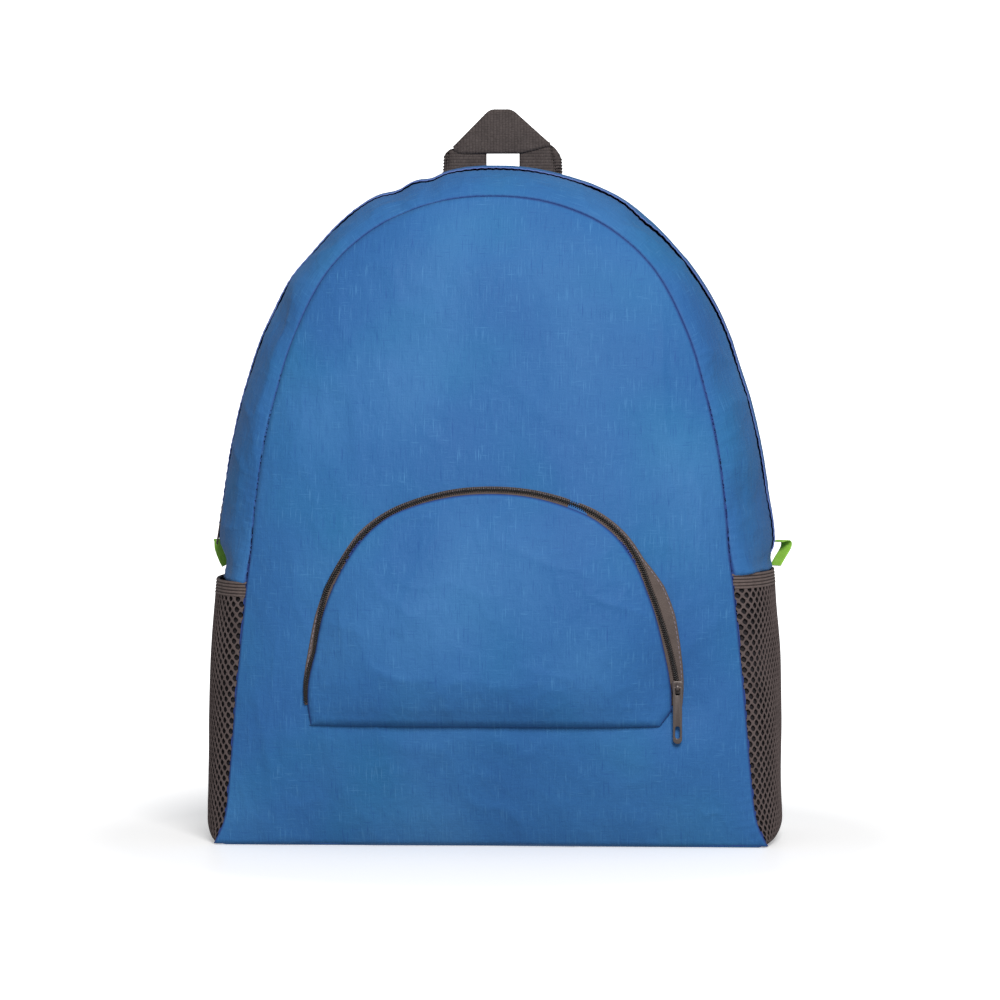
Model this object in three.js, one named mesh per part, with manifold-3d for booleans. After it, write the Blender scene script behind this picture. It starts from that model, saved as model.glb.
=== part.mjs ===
// Packable backpack: a thin cloth bag with an arched zipper, two mesh side pockets, a half-moon front
// pocket, a webbing grab handle and two shoulder straps behind.
// Millimetres. +X is to the right seen from the front, +Y is towards the wearer's back, +Z is up.
// The origin is on the underside of the bottom panel, midway between the sides.

import * as THREE from "three";
import { mergeVertices } from "three/addons/utils/BufferGeometryUtils.js";
import Module from "manifold-3d";

const wasm = await Module();
wasm.setup();

// Gaps and cloth
const clearance = 0.3;
const seamGap = 0.6;
const clothWall = 1.4;
const baseWall = 1.6;
const meshWall = 1.2;

// Bag body
const bagHalfWidth = 168;
const bagHeight = 394;
const frontReach = 70;
const widestBack = 18;
const backReach = 60;
const backInset = 8;
const frontCrown = 13;
const backCrown = 5;
const gussetPuff = 0.75;
const levelShare = 0.1;
const gussetFoldDepth = 2.4;
const panelFoldDepth = 1.8;

// Main zipper
const zipperWidth = 7;
const zipperWall = 1.6;
const zipperSunk = 0.7;
const zipperEndHeight = 166;
const zipperPlaceTop = 0.36;
const zipperPlaceEnd = 0.44;

// Main slider, one plain piece with its pull
const mainSliderWidth = 6;
const mainSliderLength = 8;
const mainSliderDepth = 2.6;
const mainPullWidth = 5;
const mainPullLength = 24;
const mainPullWall = 1.2;
const mainPullSunk = 0.2;
const mainSliderRise = 24;

// Green ribbon loops at the zipper's ends
const rightLoopReach = 10;
const leftLoopReach = 4.5;
const loopHeight = 15;
const loopRibbonWidth = 8;
const loopRibbonWall = 0.9;
const loopTurn = 12;

// Mesh side pockets
const pouchProud = 0.5;
const mouthInset = 4.5;
const pouchWidestBack = 10;
const leftMouthDrop = 23;
const rightMouthDrop = 17.5;
const bindingHeight = 9;
const bindingWall = 1.8;
const netRows = 10;
const netColumns = 6;

// Front pocket and its zipper
const pocketHalfWidth = 105.7;
const pocketHeight = 134.6;
const pocketBottom = 71;
const pocketCentre = 2;
const pocketPuff = 5;
const pocketLip = 1.2;
const pocketZipWidth = 9;
const pocketZipWall = 1.4;
const pocketZipEndRise = 12;
const cornerShare = 0.6;

// Front pocket slider and pull
const sliderWidth = 6.4;
const sliderLength = 7.4;
const sliderDepth = 2.4;
const sliderRise = 22.5;
const bridgeWidth = 1.8;
const bridgeLength = 5;
const bridgeWall = 1;
const bridgeOpening = 2.2;
const pullWidth = 5.2;
const pullLength = 32.6;
const pullWall = 1;
const pullArmWall = 1.3;
const pullSlotWidth = 2.5;
const pullSlotLength = 7;
const pullSlotMargin = 3;
const swingRoom = 0.4;

// Grab handle
const handleWidth = 25;
const handleWall = 1.5;
const handleRise = 34;
const handleTopHalf = 5.5;
const handleGapHalf = 10.5;
const handleLegDrop = 29;
const handleCentre = 2;
const handleShoulder = 1.5;

// Shoulder straps
const strapWidth = 52;
const strapWall = 5;
const strapTopDrop = 24;
const strapTopSpread = 40;
const strapFootHeight = 152;
const strapFootSpread = 84;
const strapBow = 20;
const tabWidth = 24;
const tabWall = 1.6;

// Ladder-lock buckles and the webbing through them
const buckleWidth = 34;
const buckleWall = 3;
const buckleStandOff = 7;
const buckleBar = 4;
const buckleSlot = 7.5;
const webbingWidth = 25;
const webbingWall = 1.4;
const webbingFootInset = 50;
const webbingFootHeight = 16;
const webbingTail = 62;

// How finely the cloth is divided
const stationsUp = 22;
const frontColumns = 16;
const backColumns = 10;

// Outline of the bag from the base corner up to the top of the arch. The rim is the bag's widest line,
// and the seam is where the front panel is sewn in. Shares: half widths of bagHalfWidth, rises of the
// height above the bottom panel, forward of frontReach.
const OUTLINE = [
  { rimHalf: 0.955, rimRise: 0.0, seamHalf: 0.95, seamRise: 0.0, forward: 0.72 },
  { rimHalf: 0.93, rimRise: 0.03, seamHalf: 0.91, seamRise: 0.038, forward: 0.77 },
  { rimHalf: 0.915, rimRise: 0.11, seamHalf: 0.888, seamRise: 0.12, forward: 0.81 },
  { rimHalf: 0.915, rimRise: 0.22, seamHalf: 0.868, seamRise: 0.22, forward: 0.83 },
  { rimHalf: 0.912, rimRise: 0.385, seamHalf: 0.833, seamRise: 0.37, forward: 0.83 },
  { rimHalf: 0.965, rimRise: 0.445, seamHalf: 0.815, seamRise: 0.43, forward: 0.82 },
  { rimHalf: 0.955, rimRise: 0.51, seamHalf: 0.804, seamRise: 0.49, forward: 0.79 },
  { rimHalf: 0.92, rimRise: 0.6, seamHalf: 0.778, seamRise: 0.575, forward: 0.74 },
  { rimHalf: 0.865, rimRise: 0.69, seamHalf: 0.735, seamRise: 0.66, forward: 0.67 },
  { rimHalf: 0.78, rimRise: 0.785, seamHalf: 0.672, seamRise: 0.748, forward: 0.6 },
  { rimHalf: 0.645, rimRise: 0.87, seamHalf: 0.56, seamRise: 0.84, forward: 0.53 },
  { rimHalf: 0.462, rimRise: 0.945, seamHalf: 0.4, seamRise: 0.903, forward: 0.47 },
  { rimHalf: 0.235, rimRise: 0.986, seamHalf: 0.205, seamRise: 0.939, forward: 0.44 },
  { rimHalf: 0.0, rimRise: 1.0, seamHalf: 0.0, seamRise: 0.949, forward: 0.43 },
];

// Folds and dents of the gusset. Side 1 is the right; along runs from the base corner to the top,
// across from the front seam to the back seam; the depth is a share of gussetFoldDepth, inwards.
const FOLDS = [
  { side: -1, along: 0.885, across: 0.42, depth: 1.08, length: 0.016, breadth: 0.4 },
  { side: -1, along: 0.925, across: 0.4, depth: 0.92, length: 0.014, breadth: 0.35 },
  { side: -1, along: 0.69, across: 0.2, depth: 1.0, length: 0.022, breadth: 0.14 },
  { side: -1, along: 0.735, across: 0.26, depth: -0.75, length: 0.02, breadth: 0.16 },
  { side: 1, along: 0.47, across: 0.2, depth: 0.92, length: 0.03, breadth: 0.15 },
  { side: 1, along: 0.62, across: 0.22, depth: 0.75, length: 0.028, breadth: 0.14 },
  { side: 1, along: 0.82, across: 0.3, depth: 0.67, length: 0.02, breadth: 0.18 },
  { side: -1, along: 0.58, across: 0.75, depth: 1.0, length: 0.03, breadth: 0.16 },
  { side: 1, along: 0.62, across: 0.75, depth: 1.0, length: 0.03, breadth: 0.16 },
];

// Long shallow folds of the front panel: where the middle lies, as shares of the bag's half width and
// the panel's height, the depth as a share of panelFoldDepth, the spread and the reach as shares of
// bagHalfWidth, and the slant in degrees from upright.
const PANEL_FOLDS = [
  { across: 0.5, rise: 0.62, depth: 1.0, spread: 0.07, reach: 0.36, slant: -14 },
  { across: -0.53, rise: 0.66, depth: 0.9, spread: 0.07, reach: 0.33, slant: 16 },
  { across: -0.58, rise: 0.12, depth: 1.0, spread: 0.06, reach: 0.2, slant: -22 },
  { across: 0.59, rise: 0.14, depth: 1.0, spread: 0.06, reach: 0.2, slant: 24 },
  { across: 0.04, rise: 0.07, depth: 0.8, spread: 0.36, reach: 0.06, slant: 0 },
];

// Half outline of the front pocket from its bottom corner to its top.
const POCKET_OUTLINE = [
  { half: 0.985, rise: 0.0 },
  { half: 1.0, rise: 0.09 },
  { half: 1.0, rise: 0.19 },
  { half: 0.972, rise: 0.32 },
  { half: 0.932, rise: 0.46 },
  { half: 0.88, rise: 0.58 },
  { half: 0.802, rise: 0.7 },
  { half: 0.7, rise: 0.81 },
  { half: 0.565, rise: 0.895 },
  { half: 0.4, rise: 0.95 },
  { half: 0.205, rise: 0.988 },
  { half: 0.0, rise: 1.0 },
];

// Shoulder strap from its top seam to the buckle: the share of the way down, the share of the bow
// away from the back, and the share of the full width.
const STRAP_SECTIONS = [
  { down: 0.0, bow: 0.0, width: 0.9 },
  { down: 0.06, bow: 0.22, width: 0.95 },
  { down: 0.16, bow: 0.58, width: 1.0 },
  { down: 0.3, bow: 0.9, width: 1.0 },
  { down: 0.45, bow: 1.0, width: 1.0 },
  { down: 0.6, bow: 0.9, width: 1.0 },
  { down: 0.75, bow: 0.66, width: 0.96 },
  { down: 0.88, bow: 0.38, width: 0.84 },
  { down: 0.96, bow: 0.22, width: 0.62 },
];

// Colours and finishes
const FINISHES = {
  cloth: { color: 0x2f6ba8, roughness: 0.62, metalness: 0 },
  net: { color: 0x5f524e, roughness: 0.85, metalness: 0 },
  binding: { color: 0x6a5c57, roughness: 0.8, metalness: 0 },
  zipper: { color: 0x514744, roughness: 0.7, metalness: 0 },
  webbing: { color: 0x4c4342, roughness: 0.85, metalness: 0 },
  ribbon: { color: 0x8cc63f, roughness: 0.6, metalness: 0 },
  enamel: { color: 0x6b5d58, roughness: 0.45, metalness: 0.3 },
  plastic: { color: 0x3b3635, roughness: 0.5, metalness: 0 },
};

const group = new THREE.Group();
const vector = (x, y, z) => new THREE.Vector3(x, y, z);
const mix = (from, to, share) => from + (to - from) * share;

// Adds a named mesh with a material of its own.
function addPiece(name, geometry, finish) {
  const shown = geometry.clone();
  shown.computeVertexNormals();
  const mesh = new THREE.Mesh(shown, new THREE.MeshStandardMaterial(FINISHES[finish]));
  mesh.name = name;
  group.add(mesh);
  return mesh;
}

// A closed body from its triangles, turned so that its faces point out.
function bodyFrom(triangles) {
  const solid = triangles.filter(
    ([a, b, c]) => a.distanceTo(b) > 1e-3 && b.distanceTo(c) > 1e-3 && c.distanceTo(a) > 1e-3,
  );
  let volume = 0;
  for (const [a, b, c] of solid) {
    volume += a.dot(b.clone().cross(c));
  }
  const positions = [];
  for (const [a, b, c] of solid) {
    const ordered = volume > 0 ? [a, b, c] : [a, c, b];
    for (const corner of ordered) {
      positions.push(corner.x, corner.y, corner.z);
    }
  }
  const geometry = new THREE.BufferGeometry();
  geometry.setAttribute("position", new THREE.Float32BufferAttribute(positions, 3));
  return mergeVertices(geometry, 1e-4);
}

// A wall between two grids of points of the same size. Cells that isOpen names are cut through.
function clothBetween(outer, inner, isOpen = () => false) {
  const rows = outer.length - 1;
  const columns = outer[0].length - 1;
  const present = (i, j) => i >= 0 && j >= 0 && i < rows && j < columns && !isOpen(i, j);
  const triangles = [];
  const quad = (a, b, c, d) => triangles.push([a, b, c], [a, c, d]);
  const side = (i, j, k, l) => quad(outer[i][j], inner[i][j], inner[k][l], outer[k][l]);
  for (let i = 0; i < rows; i += 1) {
    for (let j = 0; j < columns; j += 1) {
      if (!present(i, j)) {
        continue;
      }
      quad(outer[i][j], outer[i][j + 1], outer[i + 1][j + 1], outer[i + 1][j]);
      quad(inner[i][j], inner[i + 1][j], inner[i + 1][j + 1], inner[i][j + 1]);
      if (!present(i - 1, j)) {
        side(i, j, i, j + 1);
      }
      if (!present(i + 1, j)) {
        side(i + 1, j + 1, i + 1, j);
      }
      if (!present(i, j - 1)) {
        side(i + 1, j, i, j);
      }
      if (!present(i, j + 1)) {
        side(i, j + 1, i + 1, j + 1);
      }
    }
  }
  return bodyFrom(triangles);
}

// A band that follows a path in the plane square to the vector across. Each station has a place,
// a width and a wall.
function bandAlong(stations, across) {
  const sections = stations.map((station, i) => {
    const before = stations[Math.max(i - 1, 0)].place;
    const after = stations[Math.min(i + 1, stations.length - 1)].place;
    const along = after.clone().sub(before);
    along.addScaledVector(across, -along.dot(across)).normalize();
    const out = along.clone().cross(across).normalize();
    const corner = (sideways, outwards) =>
      station.place
        .clone()
        .addScaledVector(across, (sideways * station.width) / 2)
        .addScaledVector(out, (outwards * station.wall) / 2);
    return [corner(-1, -1), corner(1, -1), corner(1, 1), corner(-1, 1)];
  });
  const triangles = [];
  const first = sections[0];
  const last = sections[sections.length - 1];
  triangles.push([first[0], first[1], first[2]], [first[0], first[2], first[3]]);
  triangles.push([last[2], last[1], last[0]], [last[3], last[2], last[0]]);
  for (let i = 0; i + 1 < sections.length; i += 1) {
    for (let k = 0; k < 4; k += 1) {
      const next = (k + 1) % 4;
      const near = sections[i];
      const far = sections[i + 1];
      triangles.push([near[k], far[k], far[next]], [near[k], far[next], near[next]]);
    }
  }
  return bodyFrom(triangles);
}

// A plate with the given outline in X and Z, from one depth to another in Y.
function uprightPlate(shape, fromDepth, toDepth) {
  const plate = new THREE.ExtrudeGeometry(shape, {
    depth: toDepth - fromDepth,
    bevelEnabled: false,
    curveSegments: 5,
  });
  plate.rotateX(Math.PI / 2);
  plate.translate(0, toDepth, 0);
  return plate;
}

// A plate with the given outline in Y and Z, from one place to another in X.
function sidePlate(shape, fromSide, toSide) {
  const plate = new THREE.ExtrudeGeometry(shape, { depth: toSide - fromSide, bevelEnabled: false });
  plate.rotateY(Math.PI / 2);
  plate.rotateX(Math.PI / 2);
  plate.translate(fromSide, 0, 0);
  return plate;
}

// A flat shape from a list of corners.
function shapeFrom(corners) {
  return new THREE.Shape(corners.map(([x, z]) => new THREE.Vector2(x, z)));
}

// A rectangle given by its middle and its half sizes, as a shape or as a hole.
function rectangle(x, z, halfWidth, halfHeight) {
  return shapeFrom([
    [x - halfWidth, z - halfHeight],
    [x + halfWidth, z - halfHeight],
    [x + halfWidth, z + halfHeight],
    [x - halfWidth, z + halfHeight],
  ]);
}

function solidOf(geometry) {
  const bare = geometry.clone();
  bare.deleteAttribute("normal");
  bare.deleteAttribute("uv");
  const merged = mergeVertices(bare, 1e-4);
  return new wasm.Manifold(
    new wasm.Mesh({
      numProp: 3,
      vertProperties: merged.attributes.position.array,
      triVerts: new Uint32Array(merged.index.array),
    }),
  );
}

function joined(...geometries) {
  const solid = geometries.map(solidOf).reduce((sum, next) => sum.add(next));
  const mesh = solid.getMesh();
  const geometry = new THREE.BufferGeometry();
  geometry.setAttribute("position", new THREE.BufferAttribute(mesh.vertProperties, 3));
  geometry.setIndex(new THREE.BufferAttribute(mesh.triVerts, 1));
  return geometry;
}

// A value of a table's column on a smooth curve through its rows. Past the last row the curve goes on
// as its own mirror image, with the sign that the column has on the far side.
function columnAt(rows, column, along, farSign) {
  const last = rows.length - 1;
  const place = Math.min(Math.max(along, 0), 1) * last;
  const i = Math.min(Math.floor(place), last - 1);
  const f = place - i;
  const value = (k) => {
    if (k < 0) {
      return 2 * rows[0][column] - rows[1][column];
    }
    return k > last ? farSign * rows[2 * last - k][column] : rows[k][column];
  };
  const [a, b, c, d] = [value(i - 1), value(i), value(i + 1), value(i + 2)];
  return b + (f / 2) * (c - a + f * (2 * a - 5 * b + 4 * c - d + f * (3 * b - a - 3 * c + d)));
}

// The share along a rising function where it reaches a value.
function solve(rising, target) {
  let low = 0;
  let high = 1;
  for (let i = 0; i < 30; i += 1) {
    const middle = (low + high) / 2;
    if (rising(middle) < target) {
      low = middle;
    } else {
      high = middle;
    }
  }
  return (low + high) / 2;
}

const foot = baseWall + clearance;
const rise = bagHeight - foot;
const pouchHalfWidth = bagHalfWidth + pouchProud;
const mouthHalfWidth = bagHalfWidth - mouthInset;
const mouthHeights = {
  left: zipperEndHeight - leftMouthDrop,
  right: zipperEndHeight - rightMouthDrop,
};

const rimAt = (along) => ({
  half: bagHalfWidth * columnAt(OUTLINE, "rimHalf", along, -1),
  height: foot + rise * columnAt(OUTLINE, "rimRise", along, 1),
});

const seamAt = (along) => ({
  half: bagHalfWidth * columnAt(OUTLINE, "seamHalf", along, -1),
  height: foot + rise * columnAt(OUTLINE, "seamRise", along, 1),
  forward: frontReach * columnAt(OUTLINE, "forward", along, 1),
});

const backAt = (along) => {
  const rim = rimAt(along);
  return {
    half: rim.half * (1 - backInset / bagHalfWidth),
    height: foot + (rim.height - foot) * (1 - backInset / rise),
  };
};

const zipperPlace = (along) =>
  mix(zipperPlaceEnd, zipperPlaceTop, Math.max(0, (along - zipperEnd) / (1 - zipperEnd)));

const zipperEnd = solve((along) => rimAt(along).height, zipperEndHeight);

// A point of the gusset's outer face, from the front seam (across 0) over the rim (0.5) to the back
// seam (1), without its folds.
function gussetPlain(side, along, across) {
  const rim = rimAt(along);
  const seam = seamAt(along);
  const back = backAt(along);
  const seamDepth = -seam.forward + clothWall + seamGap;
  const backSeamDepth = backReach - clothWall - seamGap;
  if (across <= 0.5) {
    const share = across / 0.5;
    const turn = (share * Math.PI) / 2;
    const out = mix(share, Math.sin(turn), gussetPuff);
    return vector(
      side * mix(seam.half, rim.half, out),
      mix(seamDepth, widestBack, mix(share, 1 - Math.cos(turn), gussetPuff)),
      mix(seam.height, rim.height, out),
    );
  }
  const turn = ((across - 0.5) / 0.5) * (Math.PI / 2);
  const inwards = 1 - Math.cos(turn);
  return vector(
    side * mix(rim.half, back.half, inwards),
    mix(widestBack, backSeamDepth, Math.sin(turn)),
    mix(rim.height, back.height, inwards),
  );
}

// The outward direction of a surface of the right side, given by a function of the share up the side
// and the share from front to back.
function outwardOf(surface, a, b) {
  const step = 0.004;
  const low = [Math.max(a - step, 0), Math.max(b - step, 0)];
  const high = [Math.min(a + step, 1), Math.min(b + step, 1)];
  const alongA = surface(high[0], b).sub(surface(low[0], b));
  const alongB = surface(a, high[1]).sub(surface(a, low[1]));
  return alongB.cross(alongA).normalize();
}

// A point of the gusset with its folds, at a depth below its outer face. Beside the pockets the wall
// is measured level, and over the arch square to the cloth.
function gussetPoint(side, along, across, below) {
  const plain = (a, b) => gussetPlain(side, a, b);
  const outward = outwardOf(plain, along, across).multiplyScalar(side);
  outward.z *= THREE.MathUtils.clamp((along - zipperEnd) / levelShare, 0, 1);
  outward.normalize();
  let dent = 0;
  for (const fold of FOLDS) {
    if (fold.side === side) {
      const away = (along - fold.along) / fold.length;
      const aside = (across - fold.across) / fold.breadth;
      dent += gussetFoldDepth * fold.depth * Math.exp(-away * away - aside * aside);
    }
  }
  return plain(along, across).addScaledVector(outward, -dent - below);
}

// Shares across the gusset that lie a distance in millimetres from the zipper's middle.
function besideZipper(side, along, distance) {
  const place = zipperPlace(along);
  const step = 0.01;
  const near = gussetPlain(side, along, place - step);
  const far = gussetPlain(side, along, place + step);
  return place + (distance * 2 * step) / near.distanceTo(far);
}

// The arch from the zipper's left end over the top to its right end, as pairs of side and share.
function archStations() {
  const half = [];
  const count = Math.round(stationsUp * (1 - zipperEnd)) + 4;
  for (let i = 0; i <= count; i += 1) {
    half.push(mix(zipperEnd, 1, i / count));
  }
  const left = half.map((along) => ({ side: -1, along }));
  const right = half.slice(0, -1).map((along) => ({ side: 1, along }));
  return left.concat(right.reverse());
}

// A strip of the gusset over the arch between two edges, each a function of side and share.
function archStrip(fromEdge, toEdge, columns, sunk, wall) {
  const gridAt = (below) =>
    archStations().map(({ side, along }) => {
      const start = fromEdge(side, along);
      const end = toEdge(side, along);
      const row = [];
      for (let j = 0; j <= columns; j += 1) {
        row.push(gussetPoint(side, along, mix(start, end, j / columns), below));
      }
      return row;
    });
  return clothBetween(gridAt(sunk), gridAt(sunk + wall));
}

function addGussetAndZipper() {
  const half = zipperWidth / 2;
  const frontEdge = (side, along) => besideZipper(side, along, -half - clearance);
  const backEdge = (side, along) => besideZipper(side, along, half + clearance);
  addPiece("front_gusset", archStrip(() => 0, frontEdge, 5, 0, clothWall), "cloth");
  addPiece("back_gusset", archStrip(backEdge, () => 1, 6, 0, clothWall), "cloth");
  const zipFront = (side, along) => besideZipper(side, along, -half);
  const zipBack = (side, along) => besideZipper(side, along, half);
  addPiece("main_zipper", archStrip(zipFront, zipBack, 2, zipperSunk, zipperWall), "zipper");
}

// The side of the bag below the zipper's end, behind the mesh pocket.
function addSidePanel(name, side) {
  const rows = 10;
  const columns = 12;
  const top = zipperEnd - (2 * seamGap) / rise;
  const gridAt = (below) => {
    const grid = [];
    for (let i = 0; i <= rows; i += 1) {
      const row = [];
      for (let j = 0; j <= columns; j += 1) {
        const point = gussetPoint(side, (top * i) / rows, j / columns, below);
        point.z = Math.max(point.z, foot);
        row.push(point);
      }
      grid.push(row);
    }
    return grid;
  };
  addPiece(name, clothBetween(gridAt(0), gridAt(clothWall)), "cloth");
}

const seamTop = seamAt(1).height;

// How far forward the front panel's outer face lies at a place on it.
function frontDepth(x, z) {
  const along = solve((share) => seamAt(share).height, z);
  const seam = seamAt(along);
  const share = Math.min(Math.abs(x) / Math.max(seam.half, 1), 1);
  const height = Math.min(Math.max((z - foot) / (seamTop - foot), 0), 1);
  const crown = frontCrown * (1 - share ** 2.6) * Math.sin(Math.PI * height ** 0.75);
  let dent = 0;
  for (const fold of PANEL_FOLDS) {
    const slant = THREE.MathUtils.degToRad(fold.slant);
    const right = x / bagHalfWidth - fold.across;
    const up = (z - fold.rise * seamTop) / bagHalfWidth;
    const aside = (right * Math.cos(slant) - up * Math.sin(slant)) / fold.spread;
    const away = (right * Math.sin(slant) + up * Math.cos(slant)) / fold.reach;
    dent += panelFoldDepth * fold.depth * Math.exp(-aside * aside - away * away);
  }
  return -seam.forward - crown + dent * (1 - share ** 4) * Math.sin(Math.PI * height);
}

// A panel in rows from the bottom corner to the top of the arch, crossing from side to side.
function panelGrid(columns, rowAt, depthAt) {
  const grid = [];
  for (let i = 0; i <= stationsUp; i += 1) {
    const { half, height } = rowAt(i / stationsUp);
    const row = [];
    for (let j = 0; j <= columns; j += 1) {
      const x = half * mix(-1, 1, j / columns);
      row.push(vector(x, depthAt(x, height, half), height));
    }
    grid.push(row);
  }
  return grid;
}

function addFrontPanel() {
  const outer = panelGrid(frontColumns, seamAt, frontDepth);
  const inner = panelGrid(frontColumns, seamAt, (x, z) => frontDepth(x, z) + clothWall);
  addPiece("front_panel", clothBetween(outer, inner), "cloth");
}

const backTop = backAt(1).height;

// How far back the back panel's outer face lies at a place on it.
function backDepth(x, z, half) {
  const share = Math.min(Math.abs(x) / Math.max(half, 1), 1);
  const height = Math.min(Math.max((z - foot) / (backTop - foot), 0), 1);
  return backReach + backCrown * (1 - share * share) * Math.sin(Math.PI * height);
}

function backSurface(x, z) {
  return backDepth(x, z, backAt(solve((along) => backAt(along).height, z)).half);
}

function addBackPanel() {
  const innerDepth = (x, z, half) => backDepth(x, z, half) - clothWall;
  const outer = panelGrid(backColumns, backAt, backDepth);
  const inner = panelGrid(backColumns, backAt, innerDepth);
  addPiece("back_panel", clothBetween(outer, inner), "cloth");
}

// A point of a mesh pocket's outer face at a height, across from the front seam to the back seam.
function pouchPoint(side, mouth, height, across, below) {
  const surface = (share, part) => {
    const z = share * bagHeight;
    const along = solve((a) => seamAt(a).height, z);
    const seam = seamAt(along);
    const back = backAt(solve((a) => backAt(a).height, z));
    const squeeze = Math.min(z / (mouth + bindingHeight), 1) ** 3;
    const widest = mix(pouchHalfWidth, mouthHalfWidth, squeeze);
    const start = seam.half + bindingWall + clearance;
    const end = back.half + bindingWall + clearance;
    const turn = part * Math.PI;
    const front = part < 0.5;
    const out = Math.sin(turn);
    const x = front ? mix(start, widest, out) : mix(end, widest, out);
    const y = front
      ? mix(-seam.forward + clothWall + clearance, pouchWidestBack, 1 - Math.cos(turn))
      : mix(pouchWidestBack, backReach - clearance, -Math.cos(turn));
    return vector(side * x, y, z);
  };
  const share = height / bagHeight;
  const outward = outwardOf(surface, share, across).multiplyScalar(side);
  outward.z = 0;
  return surface(share, across).addScaledVector(outward.normalize(), -below);
}

// A band of the side pocket between two heights, in rows and columns, cut through where asked.
function pouchBand(side, mouth, low, high, rows, columns, wall, isOpen) {
  const gridAt = (below) => {
    const grid = [];
    for (let i = 0; i <= rows; i += 1) {
      const row = [];
      for (let j = 0; j <= columns; j += 1) {
        row.push(pouchPoint(side, mouth, mix(low, high, i / rows), j / columns, below));
      }
      grid.push(row);
    }
    return grid;
  };
  return clothBetween(gridAt(0), gridAt(wall), isOpen);
}

function addMeshPocket(sideName, side, mouth) {
  const isHole = (i, j) => i % 2 === 1 && j % 2 === 1;
  const rows = 2 * netRows + 1;
  const columns = 2 * netColumns + 1;
  const net = pouchBand(side, mouth, foot, mouth, rows, columns, meshWall, isHole);
  addPiece(`mesh_pocket_${sideName}`, net, "net");
  const low = mouth + clearance;
  const band = pouchBand(side, mouth, low, low + bindingHeight, 2, 14, bindingWall);
  addPiece(`pocket_binding_${sideName}`, band, "binding");
}

// The bottom panel reaches out under the mesh pockets.
function addBasePanel() {
  const steps = 12;
  const edge = [];
  for (let j = 0; j <= steps; j += 1) {
    const point = pouchPoint(1, mouthHeights.right, foot, j / steps, 0);
    edge.push([point.x, point.y]);
  }
  edge.unshift([seamAt(0).half, -seamAt(0).forward]);
  edge.push([backAt(0).half, backReach]);
  const mirrored = edge.map(([x, y]) => [-x, y]).reverse();
  const base = new THREE.ExtrudeGeometry(shapeFrom(edge.concat(mirrored)), {
    depth: baseWall,
    bevelEnabled: false,
  });
  addPiece("base_panel", base, "cloth");
}

// A point of the front pocket's outline, moved outwards in the panel's own plane.
function pocketEdge(side, along, outwards) {
  const at = (share) => ({
    x: pocketHalfWidth * columnAt(POCKET_OUTLINE, "half", share, -1),
    z: pocketHeight * columnAt(POCKET_OUTLINE, "rise", share, 1),
  });
  const step = 0.002;
  const low = at(Math.max(along - step, 0));
  const high = along + step > 1 ? { x: -at(1 - step).x, z: at(1 - step).z } : at(along + step);
  const length = Math.hypot(high.x - low.x, high.z - low.z);
  const here = at(along);
  return {
    x: pocketCentre + side * (here.x + (outwards * (high.z - low.z)) / length),
    z: pocketBottom + here.z - (outwards * (high.x - low.x)) / length,
  };
}

const pocketZipEnd = solve(
  (share) => columnAt(POCKET_OUTLINE, "rise", share, 1) * pocketHeight,
  pocketZipEndRise,
);

function addFrontPocket() {
  const rows = 16;
  const columns = 12;
  const panelTop = pocketEdge(1, 1, -pocketZipWidth / 2 - seamGap).z;
  const grids = [clothWall, 0].map((wall) => {
    const grid = [];
    for (let i = 0; i <= rows; i += 1) {
      const along = i / rows;
      const tuck = Math.min(along / (pocketZipEnd * cornerShare), 1) * (pocketZipWidth / 2 + seamGap);
      const edge = pocketEdge(1, along, -tuck);
      const half = i === rows ? 0 : edge.x - pocketCentre;
      const row = [];
      for (let j = 0; j <= columns; j += 1) {
        const share = mix(-1, 1, j / columns);
        const height = (edge.z - pocketBottom) / (panelTop - pocketBottom);
        const swell = pocketPuff * (1 - share ** 4) * Math.sin(Math.PI * height ** 0.6);
        const lip = pocketLip * (1 - height) * (1 - share ** 8);
        const x = pocketCentre + half * share;
        row.push(vector(x, frontDepth(x, edge.z) - clearance - wall - swell - lip, edge.z));
      }
      grid.push(row);
    }
    return grid;
  });
  addPiece("front_pocket", clothBetween(grids[0], grids[1]), "cloth");
}

function pocketZipFront(x, z) {
  return frontDepth(x, z) - clearance - pocketZipWall;
}

function addPocketZipper() {
  const stations = [];
  const count = 18;
  for (let i = 0; i <= 2 * count; i += 1) {
    const side = i <= count ? -1 : 1;
    const share = i <= count ? i / count : 2 - i / count;
    stations.push({ side, along: mix(pocketZipEnd, 1, share) });
  }
  const gridAt = (wall) =>
    stations.map(({ side, along }) => {
      const row = [];
      for (let j = 0; j <= 2; j += 1) {
        const { x, z } = pocketEdge(side, along, pocketZipWidth * mix(-0.5, 0.5, j / 2));
        row.push(vector(x, frontDepth(x, z) - clearance - wall, z));
      }
      return row;
    });
  addPiece("pocket_zipper", clothBetween(gridAt(pocketZipWall), gridAt(0)), "zipper");
}

const sliderAlong = solve(
  (share) => columnAt(POCKET_OUTLINE, "rise", share, 1) * pocketHeight,
  sliderRise,
);
const sliderPlace = pocketEdge(1, sliderAlong, 0);

// The slider lies flat on the foremost part of the zipper under it.
function sliderBackDepth() {
  const depths = [];
  for (const right of [-1, 1]) {
    for (const up of [-1, 1]) {
      const x = sliderPlace.x + (right * sliderWidth) / 2;
      const z = sliderPlace.z + (up * sliderLength) / 2;
      depths.push(pocketZipFront(x, z));
    }
  }
  return Math.min(...depths) - clearance;
}

const sliderFront = sliderBackDepth() - sliderDepth;
const pivotDepth = sliderFront - bridgeOpening / 2;

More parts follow.
